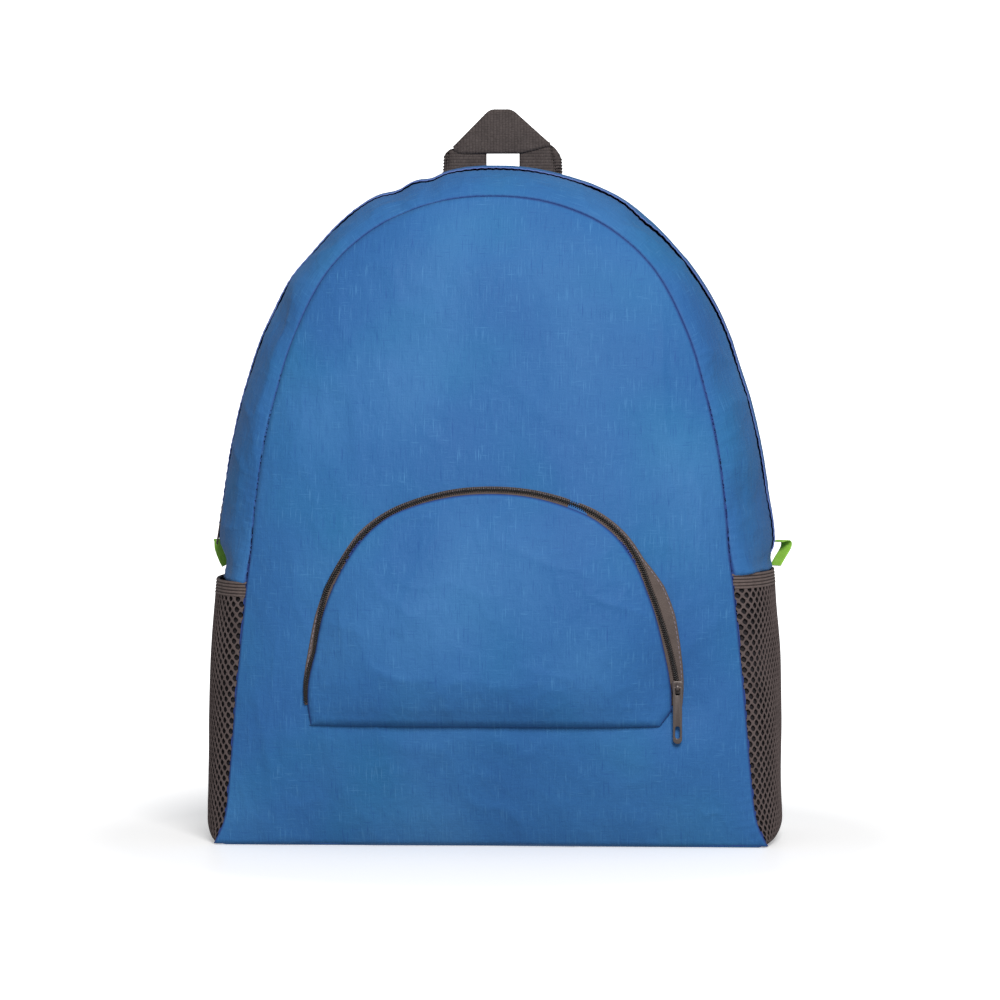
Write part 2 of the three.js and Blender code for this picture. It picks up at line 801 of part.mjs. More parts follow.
function addPocketSlider() {
  const { x, z } = sliderPlace;
  const halfWidth = sliderWidth / 2;
  const halfLength = sliderLength / 2;
  const outline = shapeFrom([
    [x - halfWidth * 0.7, z - halfLength],
    [x + halfWidth * 0.7, z - halfLength],
    [x + halfWidth, z - halfLength * 0.3],
    [x + halfWidth, z + halfLength * 0.7],
    [x + halfWidth * 0.6, z + halfLength],
    [x - halfWidth * 0.6, z + halfLength],
    [x - halfWidth, z + halfLength * 0.7],
    [x - halfWidth, z - halfLength * 0.3],
  ]);
  const plate = uprightPlate(outline, sliderFront, sliderFront + sliderDepth);
  const outerDepth = sliderFront - bridgeOpening - bridgeWall;
  const halfBridge = bridgeLength / 2;
  const sunk = sliderDepth / 2;
  const loop = shapeFrom([
    [sliderFront + sunk, z - halfBridge],
    [outerDepth, z - halfBridge],
    [outerDepth, z + halfBridge],
    [sliderFront + sunk, z + halfBridge],
    [sliderFront + sunk, z + halfBridge - bridgeWall],
    [sliderFront - bridgeOpening, z + halfBridge - bridgeWall],
    [sliderFront - bridgeOpening, z - halfBridge + bridgeWall],
    [sliderFront + sunk, z - halfBridge + bridgeWall],
  ]);
  const bridge = sidePlate(loop, x - bridgeWidth / 2, x + bridgeWidth / 2);
  addPiece("pocket_slider", joined(plate, bridge), "enamel");
}

function addPocketPull() {
  const { x, z } = sliderPlace;
  const half = pullWidth / 2;
  const bar = pullWall / 2;
  const sweep = Math.hypot(bridgeLength / 2, bridgeOpening / 2 + bridgeWall) + swingRoom;
  const end = z + bar - pullLength;
  const outline = shapeFrom([
    [x - half, z + bar],
    [x - half, end + half],
    [x - half * 0.7, end + half * 0.3],
    [x, end],
    [x + half * 0.7, end + half * 0.3],
    [x + half, end + half],
    [x + half, z + bar],
  ]);
  const eyeMiddle = z - (bar + sweep) / 2;
  outline.holes.push(rectangle(x, eyeMiddle, half - pullArmWall, (sweep - bar) / 2));
  const slotMiddle = end + pullSlotMargin + pullSlotLength / 2;
  outline.holes.push(rectangle(x, slotMiddle, pullSlotWidth / 2, pullSlotLength / 2));
  const pull = uprightPlate(outline, pivotDepth - bar, pivotDepth + bar);
  addPiece("pocket_pull", pull, "enamel");
}

// The webbing is folded slantwise over each leg, so the top is a bar with sloping ends.
function addGrabHandle() {
  const inner = handleGapHalf;
  const outer = handleGapHalf + handleWidth;
  const barTop = bagHeight + handleRise;
  const barBottom = barTop - handleWidth;
  const legFoot = barBottom - handleLegDrop;
  const legFront = backSurface(handleCentre, legFoot) + clearance;
  const slopeFoot = barBottom + handleShoulder;
  const slope = (barTop - slopeFoot) / (outer - handleTopHalf);
  const crossPiece = shapeFrom([
    [handleCentre - handleTopHalf, barTop],
    [handleCentre - outer, slopeFoot],
    [handleCentre - outer, barBottom],
    [handleCentre + outer, barBottom],
    [handleCentre + outer, slopeFoot],
    [handleCentre + handleTopHalf, barTop],
  ]);
  const layers = [uprightPlate(crossPiece, legFront - handleWall, legFront + handleWall / 2)];
  for (const side of [-1, 1]) {
    const leg = shapeFrom([
      [handleCentre + side * inner, legFoot],
      [handleCentre + side * outer, legFoot],
      [handleCentre + side * outer, slopeFoot],
      [handleCentre + side * inner, barTop - slope * (inner - handleTopHalf)],
    ]);
    layers.push(uprightPlate(leg, legFront, legFront + handleWall));
  }
  addPiece("grab_handle", joined(...layers), "webbing");
}

const strapTopHeight = bagHeight - strapTopDrop;
const buckleHeight = 3 * buckleBar + 2 * buckleSlot;
const buckleDepth = backReach + backCrown + buckleStandOff;
const buckleTop = strapFootHeight;
const buckleMiddleBar = buckleTop - 1.5 * buckleBar - buckleSlot;

// The middle of a band that passes a bar lies this far from the bar's own middle.
function barRadius(wall) {
  return {
    depth: (buckleWall / 2) * Math.SQRT2 + clearance + wall / 2,
    height: (buckleBar / 2) * Math.SQRT2 + clearance + wall / 2,
  };
}

// Stations round a bar in the plane of Y and Z: over it from the near side to the back panel's far
// side, or under it the other way.
function roundBar(x, barHeight, over, width, wall) {
  const radius = barRadius(wall);
  const stations = [];
  for (let i = 0; i <= 8; i += 1) {
    const turn = (Math.PI * i) / 8;
    const place = vector(
      x,
      buckleDepth + radius.depth * (over ? -1 : 1) * Math.cos(turn),
      barHeight + radius.height * (over ? 1 : -1) * Math.sin(turn),
    );
    stations.push({ place, width, wall });
  }
  return stations;
}

function addShoulderStrap(sideName, side) {
  const innerEdge = strapTopSpread - strapWidth / 2;
  const topDepth = backSurface(innerEdge, strapTopHeight) + clearance + strapWall / 2;
  const foldDepth = buckleDepth + barRadius(tabWall).depth;
  const barHeight = buckleTop - buckleBar / 2;
  const strapEnd = buckleTop + buckleBar * 2;
  const stations = STRAP_SECTIONS.map((section) => {
    const height = mix(strapTopHeight, strapEnd, section.down);
    const spread = mix(strapTopSpread, strapFootSpread, section.down ** 1.4);
    const rest = mix(topDepth, foldDepth, section.down);
    return {
      place: vector(side * spread, rest + strapBow * section.bow, height),
      width: strapWidth * section.width,
      wall: strapWall,
    };
  });
  const footX = side * strapFootSpread;
  const tabStart = vector(footX, foldDepth, buckleTop + buckleBar);
  stations.push({ place: tabStart, width: tabWidth, wall: tabWall });
  stations.push(...roundBar(footX, barHeight, false, tabWidth, tabWall));
  const tabBack = buckleDepth - barRadius(tabWall).depth;
  const tabEnd = vector(footX, tabBack, buckleTop + buckleBar * 1.4);
  stations.push({ place: tabEnd, width: tabWidth, wall: tabWall });
  const strap = bandAlong(stations, vector(1, 0, 0));
  addPiece(`shoulder_strap_${sideName}`, strap, "cloth");
}

function addBuckle(sideName, side) {
  const x = side * strapFootSpread;
  const middle = buckleTop - buckleHeight / 2;
  const frame = rectangle(x, middle, buckleWidth / 2, buckleHeight / 2);
  const slotHalf = buckleWidth / 2 - buckleBar;
  const slotMiddle = (buckleBar + buckleSlot) / 2;
  for (const upOrDown of [-1, 1]) {
    const place = middle + upOrDown * slotMiddle;
    frame.holes.push(rectangle(x, place, slotHalf, buckleSlot / 2));
  }
  const plate = uprightPlate(frame, buckleDepth - buckleWall / 2, buckleDepth + buckleWall / 2);
  addPiece(`strap_buckle_${sideName}`, plate, "plastic");
}

// From the base corner up behind the buckle, over its middle bar and down again as a free tail.
function addStrapWebbing(sideName, side) {
  const x = side * strapFootSpread;
  const webbingFootSpread = bagHalfWidth - webbingFootInset;
  const footX = side * webbingFootSpread;
  const behind = buckleDepth - barRadius(webbingWall).depth;
  const before = buckleDepth + barRadius(webbingWall).depth;
  const buckleFoot = buckleTop - buckleHeight;
  const innerEdge = webbingFootSpread - webbingWidth / 2;
  const anchor = backSurface(innerEdge, webbingFootHeight) + clearance + webbingWall / 2;
  const stations = [];
  const station = (px, py, pz) => {
    stations.push({ place: vector(px, py, pz), width: webbingWidth, wall: webbingWall });
  };
  station(footX, anchor, webbingFootHeight);
  station(mix(footX, x, 0.4), mix(anchor, behind, 0.5), mix(webbingFootHeight, buckleFoot, 0.35));
  station(mix(footX, x, 0.85), mix(anchor, behind, 0.9), mix(webbingFootHeight, buckleFoot, 0.7));
  station(x, behind, buckleFoot);
  stations.push(...roundBar(x, buckleMiddleBar, true, webbingWidth, webbingWall));
  station(x, before, buckleFoot);
  station(x, before + webbingWall, buckleFoot - webbingTail * 0.5);
  station(x, before, buckleFoot - webbingTail);
  addPiece(`strap_webbing_${sideName}`, bandAlong(stations, vector(1, 0, 0)), "webbing");
}

// A triangular ribbon loop sewn in where the zipper ends, turned a little towards the back.
function addZipperLoop(sideName, side, loopReach) {
  const turn = THREE.MathUtils.degToRad(loopTurn);
  const out = vector(side * Math.cos(turn), Math.sin(turn), 0);
  const across = vector(-side * Math.sin(turn), Math.cos(turn), 0);
  const start = (loopRibbonWidth / 2) * Math.sin(turn) + seamGap + loopRibbonWall;
  const seatAt = (height) => gussetPoint(side, solve((a) => rimAt(a).height, height), 0.5, 0);
  const tip = seatAt(zipperEndHeight + loopHeight / 2).addScaledVector(out, loopReach);
  const path = [
    { out: 0, up: 0.44 },
    { out: 0.5, up: 0.48 },
    { out: 0.92, up: 0.44 },
    { out: 1, up: 0.3 },
    { out: 0.84, up: 0.12 },
    { out: 0.4, up: -0.22 },
    { out: 0, up: -0.5 },
  ];
  const stations = path.map((point) => {
    const height = zipperEndHeight + point.up * loopHeight;
    const place = seatAt(height).addScaledVector(out, start).lerp(tip, point.out).setZ(height);
    return { place, width: loopRibbonWidth, wall: loopRibbonWall };
  });
  addPiece(`zipper_loop_${sideName}`, bandAlong(stations, across), "ribbon");
}

// The main slider is parked above the left end of the zipper, with its pull lying down along it.
function addMainSlider() {
  const along = solve((share) => rimAt(share).height, zipperEndHeight + mainSliderRise);
  const place = zipperPlace(along);
  const here = gussetPoint(-1, along, place, 0);
  const next = gussetPoint(-1, along + 0.02, place, 0);
  const up = next.sub(here).normalize();
  const surface = (a, b) => gussetPlain(-1, a, b);
  const outward = outwardOf(surface, along, place).negate();
  const sideways = up.clone().cross(outward).normalize();
  const body = new THREE.BoxGeometry(mainSliderWidth, mainSliderLength, mainSliderDepth);
  const pull = new THREE.BoxGeometry(mainPullWidth, mainPullLength, mainPullWall);
  const pullTop = mainSliderLength * 0.75;
  pull.translate(0, (pullTop - mainPullLength) / 2, (mainSliderDepth + mainPullWall) / 2 - mainPullSunk);
  const slider = joined(body, pull);
  const proudUnder = (below, above) => {
    let proud = 0;
    for (let i = 0; i <= 6; i += 1) {
      const height = zipperEndHeight + mainSliderRise + mix(-below, above, i / 6);
      const under = solve((share) => rimAt(share).height, height);
      for (const part of [-1, 0, 1]) {
        const across = besideZipper(-1, under, (part * mainSliderWidth) / 2);
        proud = Math.max(proud, gussetPoint(-1, under, across, 0).sub(here).dot(outward));
      }
    }
    return proud;
  };
  const halfLength = mainSliderLength / 2;
  const underPull = proudUnder(mainPullLength - pullTop / 2, halfLength) - mainSliderDepth + mainPullSunk;
  const lift = Math.max(proudUnder(halfLength, halfLength), underPull) + clearance;
  const frame = new THREE.Matrix4().makeBasis(sideways, up, outward);
  const mesh = addPiece("main_slider", slider, "enamel");
  mesh.quaternion.setFromRotationMatrix(frame);
  mesh.position.copy(here.addScaledVector(outward, mainSliderDepth / 2 + lift));
}

addFrontPanel();
addGussetAndZipper();
addSidePanel("side_panel_left", -1);
addSidePanel("side_panel_right", 1);
addBackPanel();
addBasePanel();
addMeshPocket("left", -1, mouthHeights.left);
addMeshPocket("right", 1, mouthHeights.right);
addFrontPocket();
addPocketZipper();
addPocketSlider();
addPocketPull();
addGrabHandle();
for (const [sideName, side] of [["left", -1], ["right", 1]]) {
  addShoulderStrap(sideName, side);
  addBuckle(sideName, side);
  addStrapWebbing(sideName, side);
}
addZipperLoop("left", -1, leftLoopReach);
addZipperLoop("right", 1, rightLoopReach);
addMainSlider();

export default group;
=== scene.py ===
"""The looks of a packable cloth backpack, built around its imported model.

Lengths are in metres in the model's own frame: +X to the right seen from the front, +Y towards the
wearer's back, +Z up. The outline tables hold the shares that the bag is cut to.
"""

import logging
import math
from dataclasses import dataclass
from enum import Enum
from typing import Callable, Sequence

import bmesh
import bpy
import numpy as np
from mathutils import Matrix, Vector


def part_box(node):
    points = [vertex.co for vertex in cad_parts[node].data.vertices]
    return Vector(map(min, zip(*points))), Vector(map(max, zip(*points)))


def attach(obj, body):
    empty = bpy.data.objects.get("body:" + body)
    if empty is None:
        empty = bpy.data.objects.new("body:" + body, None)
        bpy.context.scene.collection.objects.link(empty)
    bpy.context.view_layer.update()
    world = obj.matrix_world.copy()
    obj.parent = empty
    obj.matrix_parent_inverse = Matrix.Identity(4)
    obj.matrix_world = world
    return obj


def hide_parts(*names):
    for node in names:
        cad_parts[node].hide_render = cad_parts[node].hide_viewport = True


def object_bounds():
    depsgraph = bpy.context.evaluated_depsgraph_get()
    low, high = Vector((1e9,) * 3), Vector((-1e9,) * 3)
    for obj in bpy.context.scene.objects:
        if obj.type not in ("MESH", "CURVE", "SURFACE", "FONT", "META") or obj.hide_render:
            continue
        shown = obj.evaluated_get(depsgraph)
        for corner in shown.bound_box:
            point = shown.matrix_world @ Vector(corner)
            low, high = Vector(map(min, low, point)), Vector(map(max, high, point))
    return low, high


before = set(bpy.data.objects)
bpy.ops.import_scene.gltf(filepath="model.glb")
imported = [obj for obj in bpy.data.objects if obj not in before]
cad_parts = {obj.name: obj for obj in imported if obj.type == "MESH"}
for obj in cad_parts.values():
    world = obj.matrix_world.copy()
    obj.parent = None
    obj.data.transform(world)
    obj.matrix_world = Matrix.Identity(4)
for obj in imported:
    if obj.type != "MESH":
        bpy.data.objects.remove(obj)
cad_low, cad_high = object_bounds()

Array = np.ndarray
MM = 0.001
# On cloth the weave's third value is the distance to the next seam, and this more where a thin painted
# highlight lies, at a hem or the pocket's foot
HIGHLIGHT_MARK = 1.0
BAG_MIDDLE = np.array([0.0, 0.0, 0.19])
EDGE_BULGE = 0.3
ACROSS_X = np.array([1.0, 0.0, 0.0])
SAME_PLACE = 1e-6
SHARP_ANGLE = math.radians(40)

logging.basicConfig(level=logging.INFO, format="%(message)s")
log = logging.getLogger("backpack")


class Side(Enum):
    """A side of the bag, seen from the front."""

    LEFT = -1
    RIGHT = 1

    @property
    def sign(self) -> int:
        """The side's sign along X."""
        return self.value

    @property
    def word(self) -> str:
        """The side's name as piece names use it."""
        return self.name.lower()


class Body(Enum):
    """The bodies that pieces ride on."""

    BAG = "bag"
    PULL = "pull"


class Slot(Enum):
    """The record's material slots."""

    CLOTH = "blue_cloth"
    ZIPPER = "zipper_tape"
    ENAMEL = "slider_paint"
    NET = "pocket_net"
    BINDING = "elastic_binding"
    WEBBING = "dark_webbing"
    STRAP = "strap_cloth"
    PLASTIC = "dark_plastic"
    RIBBON = "green_ribbon"


# The gusset's folds: side, share along, share across, depth, length and breadth
FOLD_ROWS = (
    (-1, 0.885, 0.42, 1.08, 0.016, 0.4),
    (-1, 0.925, 0.4, 0.92, 0.014, 0.35),
    (-1, 0.69, 0.2, 1.0, 0.022, 0.14),
    (-1, 0.735, 0.26, -0.75, 0.02, 0.16),
    (1, 0.47, 0.2, 0.92, 0.03, 0.15),
    (1, 0.62, 0.22, 0.75, 0.028, 0.14),
    (1, 0.82, 0.3, 0.67, 0.02, 0.18),
    (-1, 0.58, 0.75, 1.0, 0.03, 0.16),
    (1, 0.62, 0.75, 1.0, 0.03, 0.16),
)

# The front panel's folds: share across, share up, depth, spread, reach and slant in degrees
PANEL_FOLD_ROWS = (
    (0.5, 0.62, 1.0, 0.07, 0.36, -14.0),
    (-0.53, 0.66, 0.9, 0.07, 0.33, 16.0),
    (-0.58, 0.12, 1.0, 0.06, 0.2, -22.0),
    (0.59, 0.14, 1.0, 0.06, 0.2, 24.0),
    (0.04, 0.07, 0.8, 0.36, 0.06, 0.0),
)

@dataclass(frozen=True)
class Table:
    """A short table of shares with named columns, read as smooth curves through its rows."""

    columns: tuple[str, ...]
    rows: tuple[tuple[float, ...], ...]

    def column(self, name: str) -> Array:
        """The values of the named column."""
        return np.array([row[self.columns.index(name)] for row in self.rows], float)

    def at(self, name: str, along: Array, far_sign: int) -> Array:
        """A column's value on a smooth curve through the rows.

        Args:
            name: The column's name.
            along: Shares from the first row to the last.
            far_sign: The sign that the column has past its last row, where the curve mirrors.

        Returns:
            The values, one for each share.
        """
        values = self.column(name)
        last = len(values) - 1
        place = np.clip(along, 0, 1) * last
        i = np.minimum(np.floor(place).astype(int), last - 1)
        f = place - i
        ends = ([2 * values[0] - values[1]], values, [far_sign * values[last - 1]])
        padded = np.concatenate(ends)
        return curve(*(padded[i + k] for k in range(4)), f)


OUTLINE = Table(
    ("rim_half", "rim_rise", "seam_half", "seam_rise", "forward"),
    (
        (0.955, 0.0, 0.95, 0.0, 0.72),
        (0.93, 0.03, 0.91, 0.038, 0.77),
        (0.915, 0.11, 0.888, 0.12, 0.81),
        (0.915, 0.22, 0.868, 0.22, 0.83),
        (0.912, 0.385, 0.833, 0.37, 0.83),
        (0.965, 0.445, 0.815, 0.43, 0.82),
        (0.955, 0.51, 0.804, 0.49, 0.79),
        (0.92, 0.6, 0.778, 0.575, 0.74),
        (0.865, 0.69, 0.735, 0.66, 0.67),
        (0.78, 0.785, 0.672, 0.748, 0.6),
        (0.645, 0.87, 0.56, 0.84, 0.53),
        (0.462, 0.945, 0.4, 0.903, 0.47),
        (0.235, 0.986, 0.205, 0.939, 0.44),
        (0.0, 1.0, 0.0, 0.949, 0.43),
    ),
)

POCKET_OUTLINE = Table(
    ("half", "rise"),
    (
        (0.985, 0.0),
        (1.0, 0.09),
        (1.0, 0.19),
        (0.972, 0.32),
        (0.932, 0.46),
        (0.88, 0.58),
        (0.802, 0.7),
        (0.7, 0.81),
        (0.565, 0.895),
        (0.4, 0.95),
        (0.205, 0.988),
        (0.0, 1.0),
    ),
)

STRAP_LINE = Table(
    ("down", "bow", "width"),
    (
        (0.0, 0.0, 0.9),
        (0.06, 0.22, 0.95),
        (0.16, 0.58, 1.0),
        (0.3, 0.9, 1.0),
        (0.45, 1.0, 1.0),
        (0.6, 0.9, 1.0),
        (0.75, 0.66, 0.96),
        (0.88, 0.38, 0.84),
        (0.96, 0.22, 0.62),
    ),
)


def curve(before: Array, start: Array, end: Array, after: Array, share: Array) -> Array:
    """A smooth curve's value at a share from start to end.

    Args:
        before: The value before the start.
        start: The value at share 0.
        end: The value at share 1.
        after: The value after the end.
        share: The share of the way.

    Returns:
        The values on the curve.
    """
    bend = 2 * before - 5 * start + 4 * end - after
    twist = 3 * start - before - 3 * end + after
    return start + (share / 2) * (end - before + share * (bend + share * twist))


def mix(start: Array | float, end: Array | float, share: Array | float) -> Array | float:
    """The value a share of the way from start to end."""
    return start + (end - start) * share


def eased(share: Array) -> Array:
    """A share from 0 to 1 that starts and ends gently."""
    return share * share * (3 - 2 * share)


def unit(vectors: Array) -> Array:
    """The vectors at length one."""
    length = np.linalg.norm(vectors, axis=-1, keepdims=True)
    return vectors / np.maximum(length, 1e-12)


def point(x: Array | float, y: Array | float, z: Array | float) -> Array:
    """Points from their three coordinates, which may be arrays."""
    return np.stack(np.broadcast_arrays(x, y, z), -1).astype(float)


def patchy(u: Array, v: Array, seed: int) -> Array:
    """Smooth patchy noise from -1 to 1.

    Args:
        u: Places along the first direction, one patch to a unit.
        v: Places along the second direction.
        seed: Chooses the pattern.

    Returns:
        The noise at each place.
    """
    size = 61
    table = np.random.default_rng(seed).uniform(-1, 1, (size, size))
    u, v = np.broadcast_arrays(np.asarray(u, float), np.asarray(v, float))
    iu, iv = np.floor(u).astype(int), np.floor(v).astype(int)
    fu, fv = eased(u - iu), eased(v - iv)
    low = mix(table[iu % size, iv % size], table[(iu + 1) % size, iv % size], fu)
    high = mix(table[iu % size, (iv + 1) % size], table[(iu + 1) % size, (iv + 1) % size], fu)
    return mix(low, high, fv)


def creased(u: Array, v: Array, seed: int) -> Array:
    """Noise from 0 to 1 with soft narrow ridges, as in handled cloth, at places like those of patchy."""
    bent_u = u + 0.6 * patchy(u * 0.7, v * 0.7, seed + 1)
    bent_v = v + 0.6 * patchy(u * 0.7, v * 0.7, seed + 2)
    return (1 - np.abs(patchy(bent_u, bent_v, seed))) ** 4


def crumpled(layers: Sequence[tuple[Callable, float, float, float, int]], u: Array, v: Array) -> Array:
    """How far handled cloth is raised by its swells and ridges.

    Args:
        layers: Each layer's kind of noise, its width, height and depth in millimetres, and its seed.
        u: Places along the first direction.
        v: Places along the second direction.

    Returns:
        The height at each place.
    """
    raised = 0.0
    for noise, width, height, depth, seed in layers:
        raised = raised + noise(u / (width * MM), v / (height * MM), seed) * depth * MM
    return raised


def rolled(distance: Array, radius: float) -> Array:
    """How far an edge of this radius has turned down at a distance from the edge."""
    share = np.clip(1 - distance / radius, 0, 1)
    return radius * (1 - np.sqrt(1 - share * share))


def crowded_unit(count: int) -> Array:
    """Shares from 0 to 1 that lie close together near both ends."""
    return (np.sin(np.linspace(-1, 1, count) * math.pi / 2) + 1) / 2


def nearest_on(path: Array, places: Array) -> tuple[Array, Array]:
    """Distance from each place to a path, and how far along the path that is.

    Args:
        path: The path's points, close together.
        places: The places, with as many coordinates as the path's points.

    Returns:
        The distances and the lengths along the path, each shaped like the places.
    """
    lengths = path_lengths(path)
    flat = places.reshape(-1, places.shape[-1])
    distance = np.empty(len(flat))
    along = np.empty(len(flat))
    chunk = 4000
    for start in range(0, len(flat), chunk):
        part = flat[start : start + chunk]
        gaps = ((part[:, None, :] - path[None, :, :]) ** 2).sum(-1)
        best = gaps.argmin(1)
        distance[start : start + chunk] = np.sqrt(gaps[np.arange(len(part)), best])
        along[start : start + chunk] = lengths[best]
    return distance.reshape(places.shape[:-1]), along.reshape(places.shape[:-1])


def smooth_path(points: Array, spacing: float) -> Array:
    """Evenly spaced points on a smooth curve through a few points.

    Args:
        points: The points that the curve passes.
        spacing: The wanted distance between the new points.

    Returns:
        The new points, with the same first and last point.
    """
    ends = (2 * points[:1] - points[1:2], points, 2 * points[-1:] - points[-2:-1])
    padded = np.concatenate(ends)
    share = np.linspace(0, 1, 24, endpoint=False)[:, None]
    fine = [curve(*padded[i : i + 4], share) for i in range(len(points) - 1)]
    return even_path(np.concatenate([*fine, points[-1:]]), spacing)


def even_path(fine: Array, spacing: float) -> Array:
    """The same path with its points spaced evenly."""
    count = max(int(round(path_lengths(fine)[-1] / spacing)), 2)
    return resampled(fine, np.linspace(0, 1, count + 1))


def path_lengths(path: Array) -> Array:
    """The length from the path's start to each of its points."""
    steps = np.linalg.norm(np.diff(path, axis=0), axis=1)
    return np.concatenate([[0.0], np.cumsum(steps)])


def at_lengths(values: Array, lengths: Array, wanted: Array | float) -> Array:
    """Values given at a path's lengths, such as its points, read at the wanted lengths."""
    return np.stack([np.interp(wanted, lengths, values[:, k]) for k in range(values.shape[1])], -1)


def resampled(path: Array, shares: Array) -> Array:
    """Points at shares of a path's length."""
    lengths = path_lengths(path)
    return at_lengths(path, lengths, shares * lengths[-1])


class Nodes:
    """The shader nodes of one material, with short ways to add and join them."""

    def __init__(self, name: str) -> None:
        """Makes the material with a plain shader."""
        self.material = bpy.data.materials.new(name)
        self.material.use_nodes = True
        self.tree = self.material.node_tree
        self.shader = self.tree.nodes["Principled BSDF"]

    def add(self, kind: str, **settings: object) -> bpy.types.Node:
        """Adds a node of a kind, with its settings."""
        node = self.tree.nodes.new(kind)
        for name, value in settings.items():
            setattr(node, name, value)
        return node

    def join(self, source: bpy.types.NodeSocket | float, target: bpy.types.NodeSocket) -> None:
        """Links a socket to another, or sets a plain value on it."""
        if isinstance(source, bpy.types.NodeSocket):
            self.tree.links.new(source, target)
        else:
            target.default_value = source

    def math(self, operation: str, first: object, second: object = 0.0) -> bpy.types.NodeSocket:
        """The result of a sum on one or two values."""
        node = self.add("ShaderNodeMath", operation=operation)
        self.join(first, node.inputs[0])
        self.join(second, node.inputs[1])
        return node.outputs[0]

    def ramp(self, value: object, low: float, high: float, start: float, end: float) -> object:
        """The value moved from one range to another and held inside it."""
        node = self.add("ShaderNodeMapRange")
        self.join(value, node.inputs["Value"])
        for name, number in (("From Min", low), ("From Max", high), ("To Min", start), ("To Max", end)):
            node.inputs[name].default_value = number
        return node.outputs["Result"]

    def blend(self, factor: object, first: object, second: object) -> bpy.types.NodeSocket:
        """A colour between two colours."""
        node = self.add("ShaderNodeMix", data_type="RGBA")
        self.join(factor, node.inputs["Factor"])
        for socket, colour in ((node.inputs[6], first), (node.inputs[7], second)):
            if isinstance(colour, bpy.types.NodeSocket):
                self.join(colour, socket)
            else:
                socket.default_value = (*colour, 1.0)
        return node.outputs[2]

    def weave(self) -> tuple[object, object, object]:
        """Places on the flat cloth across and along it, and the third value that each finish explains."""
        source = self.add("ShaderNodeAttribute", attribute_name="weave")
        split = self.add("ShaderNodeSeparateXYZ")
        self.join(source.outputs["Vector"], split.inputs[0])
        return split.outputs[0], split.outputs[1], split.outputs[2]

    def spot(self, u: object, v: object, u_scale: float, v_scale: float) -> bpy.types.NodeSocket:
        """A place whose two coordinates are divided by their own scales."""
        node = self.add("ShaderNodeCombineXYZ")
        self.join(self.math("DIVIDE", u, u_scale), node.inputs[0])
        self.join(self.math("DIVIDE", v, v_scale), node.inputs[1])
        return node.outputs[0]

    def noise(self, place: object, detail: float = 2.0, rough: float = 0.5) -> bpy.types.NodeSocket:
        """Noise from 0 to 1 at a place."""
        node = self.add("ShaderNodeTexNoise")
        node.inputs["Scale"].default_value = 1.0
        node.inputs["Detail"].default_value = detail
        node.inputs["Roughness"].default_value = rough
        self.join(place, node.inputs["Vector"])
        return node.outputs[0]

    def wave(self, value: object, pitch: float) -> bpy.types.NodeSocket:
        """A wave from -1 to 1 with the given pitch."""
        turned = self.math("MULTIPLY", value, 2 * math.pi / pitch)
        return self.math("SINE", turned)

    def relief(self, height: object, depth: float, under: object = None) -> bpy.types.NodeSocket:
        """A surface raised by a height times a depth in metres, on top of another relief."""
        node = self.add("ShaderNodeBump")
        node.inputs["Strength"].default_value = 1.0
        node.inputs["Distance"].default_value = depth
        self.join(height, node.inputs["Height"])
        if under is not None:
            self.join(under, node.inputs["Normal"])
        return node.outputs[0]

    def finish(self, colour: object, rough: object, normal: object) -> bpy.types.Material:
        """Gives the shader its colour, roughness and relief."""
        self.join(colour, self.shader.inputs["Base Color"])
        self.join(rough, self.shader.inputs["Roughness"])
        self.join(normal, self.shader.inputs["Normal"])
        return self.material

    def sheen(self, weight: float, rough: float, tint: Sequence[float]) -> None:
        """Gives the shader a sheen that is the same all over."""
        self.shader.inputs["Sheen Weight"].default_value = weight
        self.shader.inputs["Sheen Roughness"].default_value = rough
        self.shader.inputs["Sheen Tint"].default_value = (*tint, 1.0)

    def gloss(self, level: float) -> None:
        """Sets the strength of the plain reflection."""
        self.shader.inputs["Specular IOR Level"].default_value = level


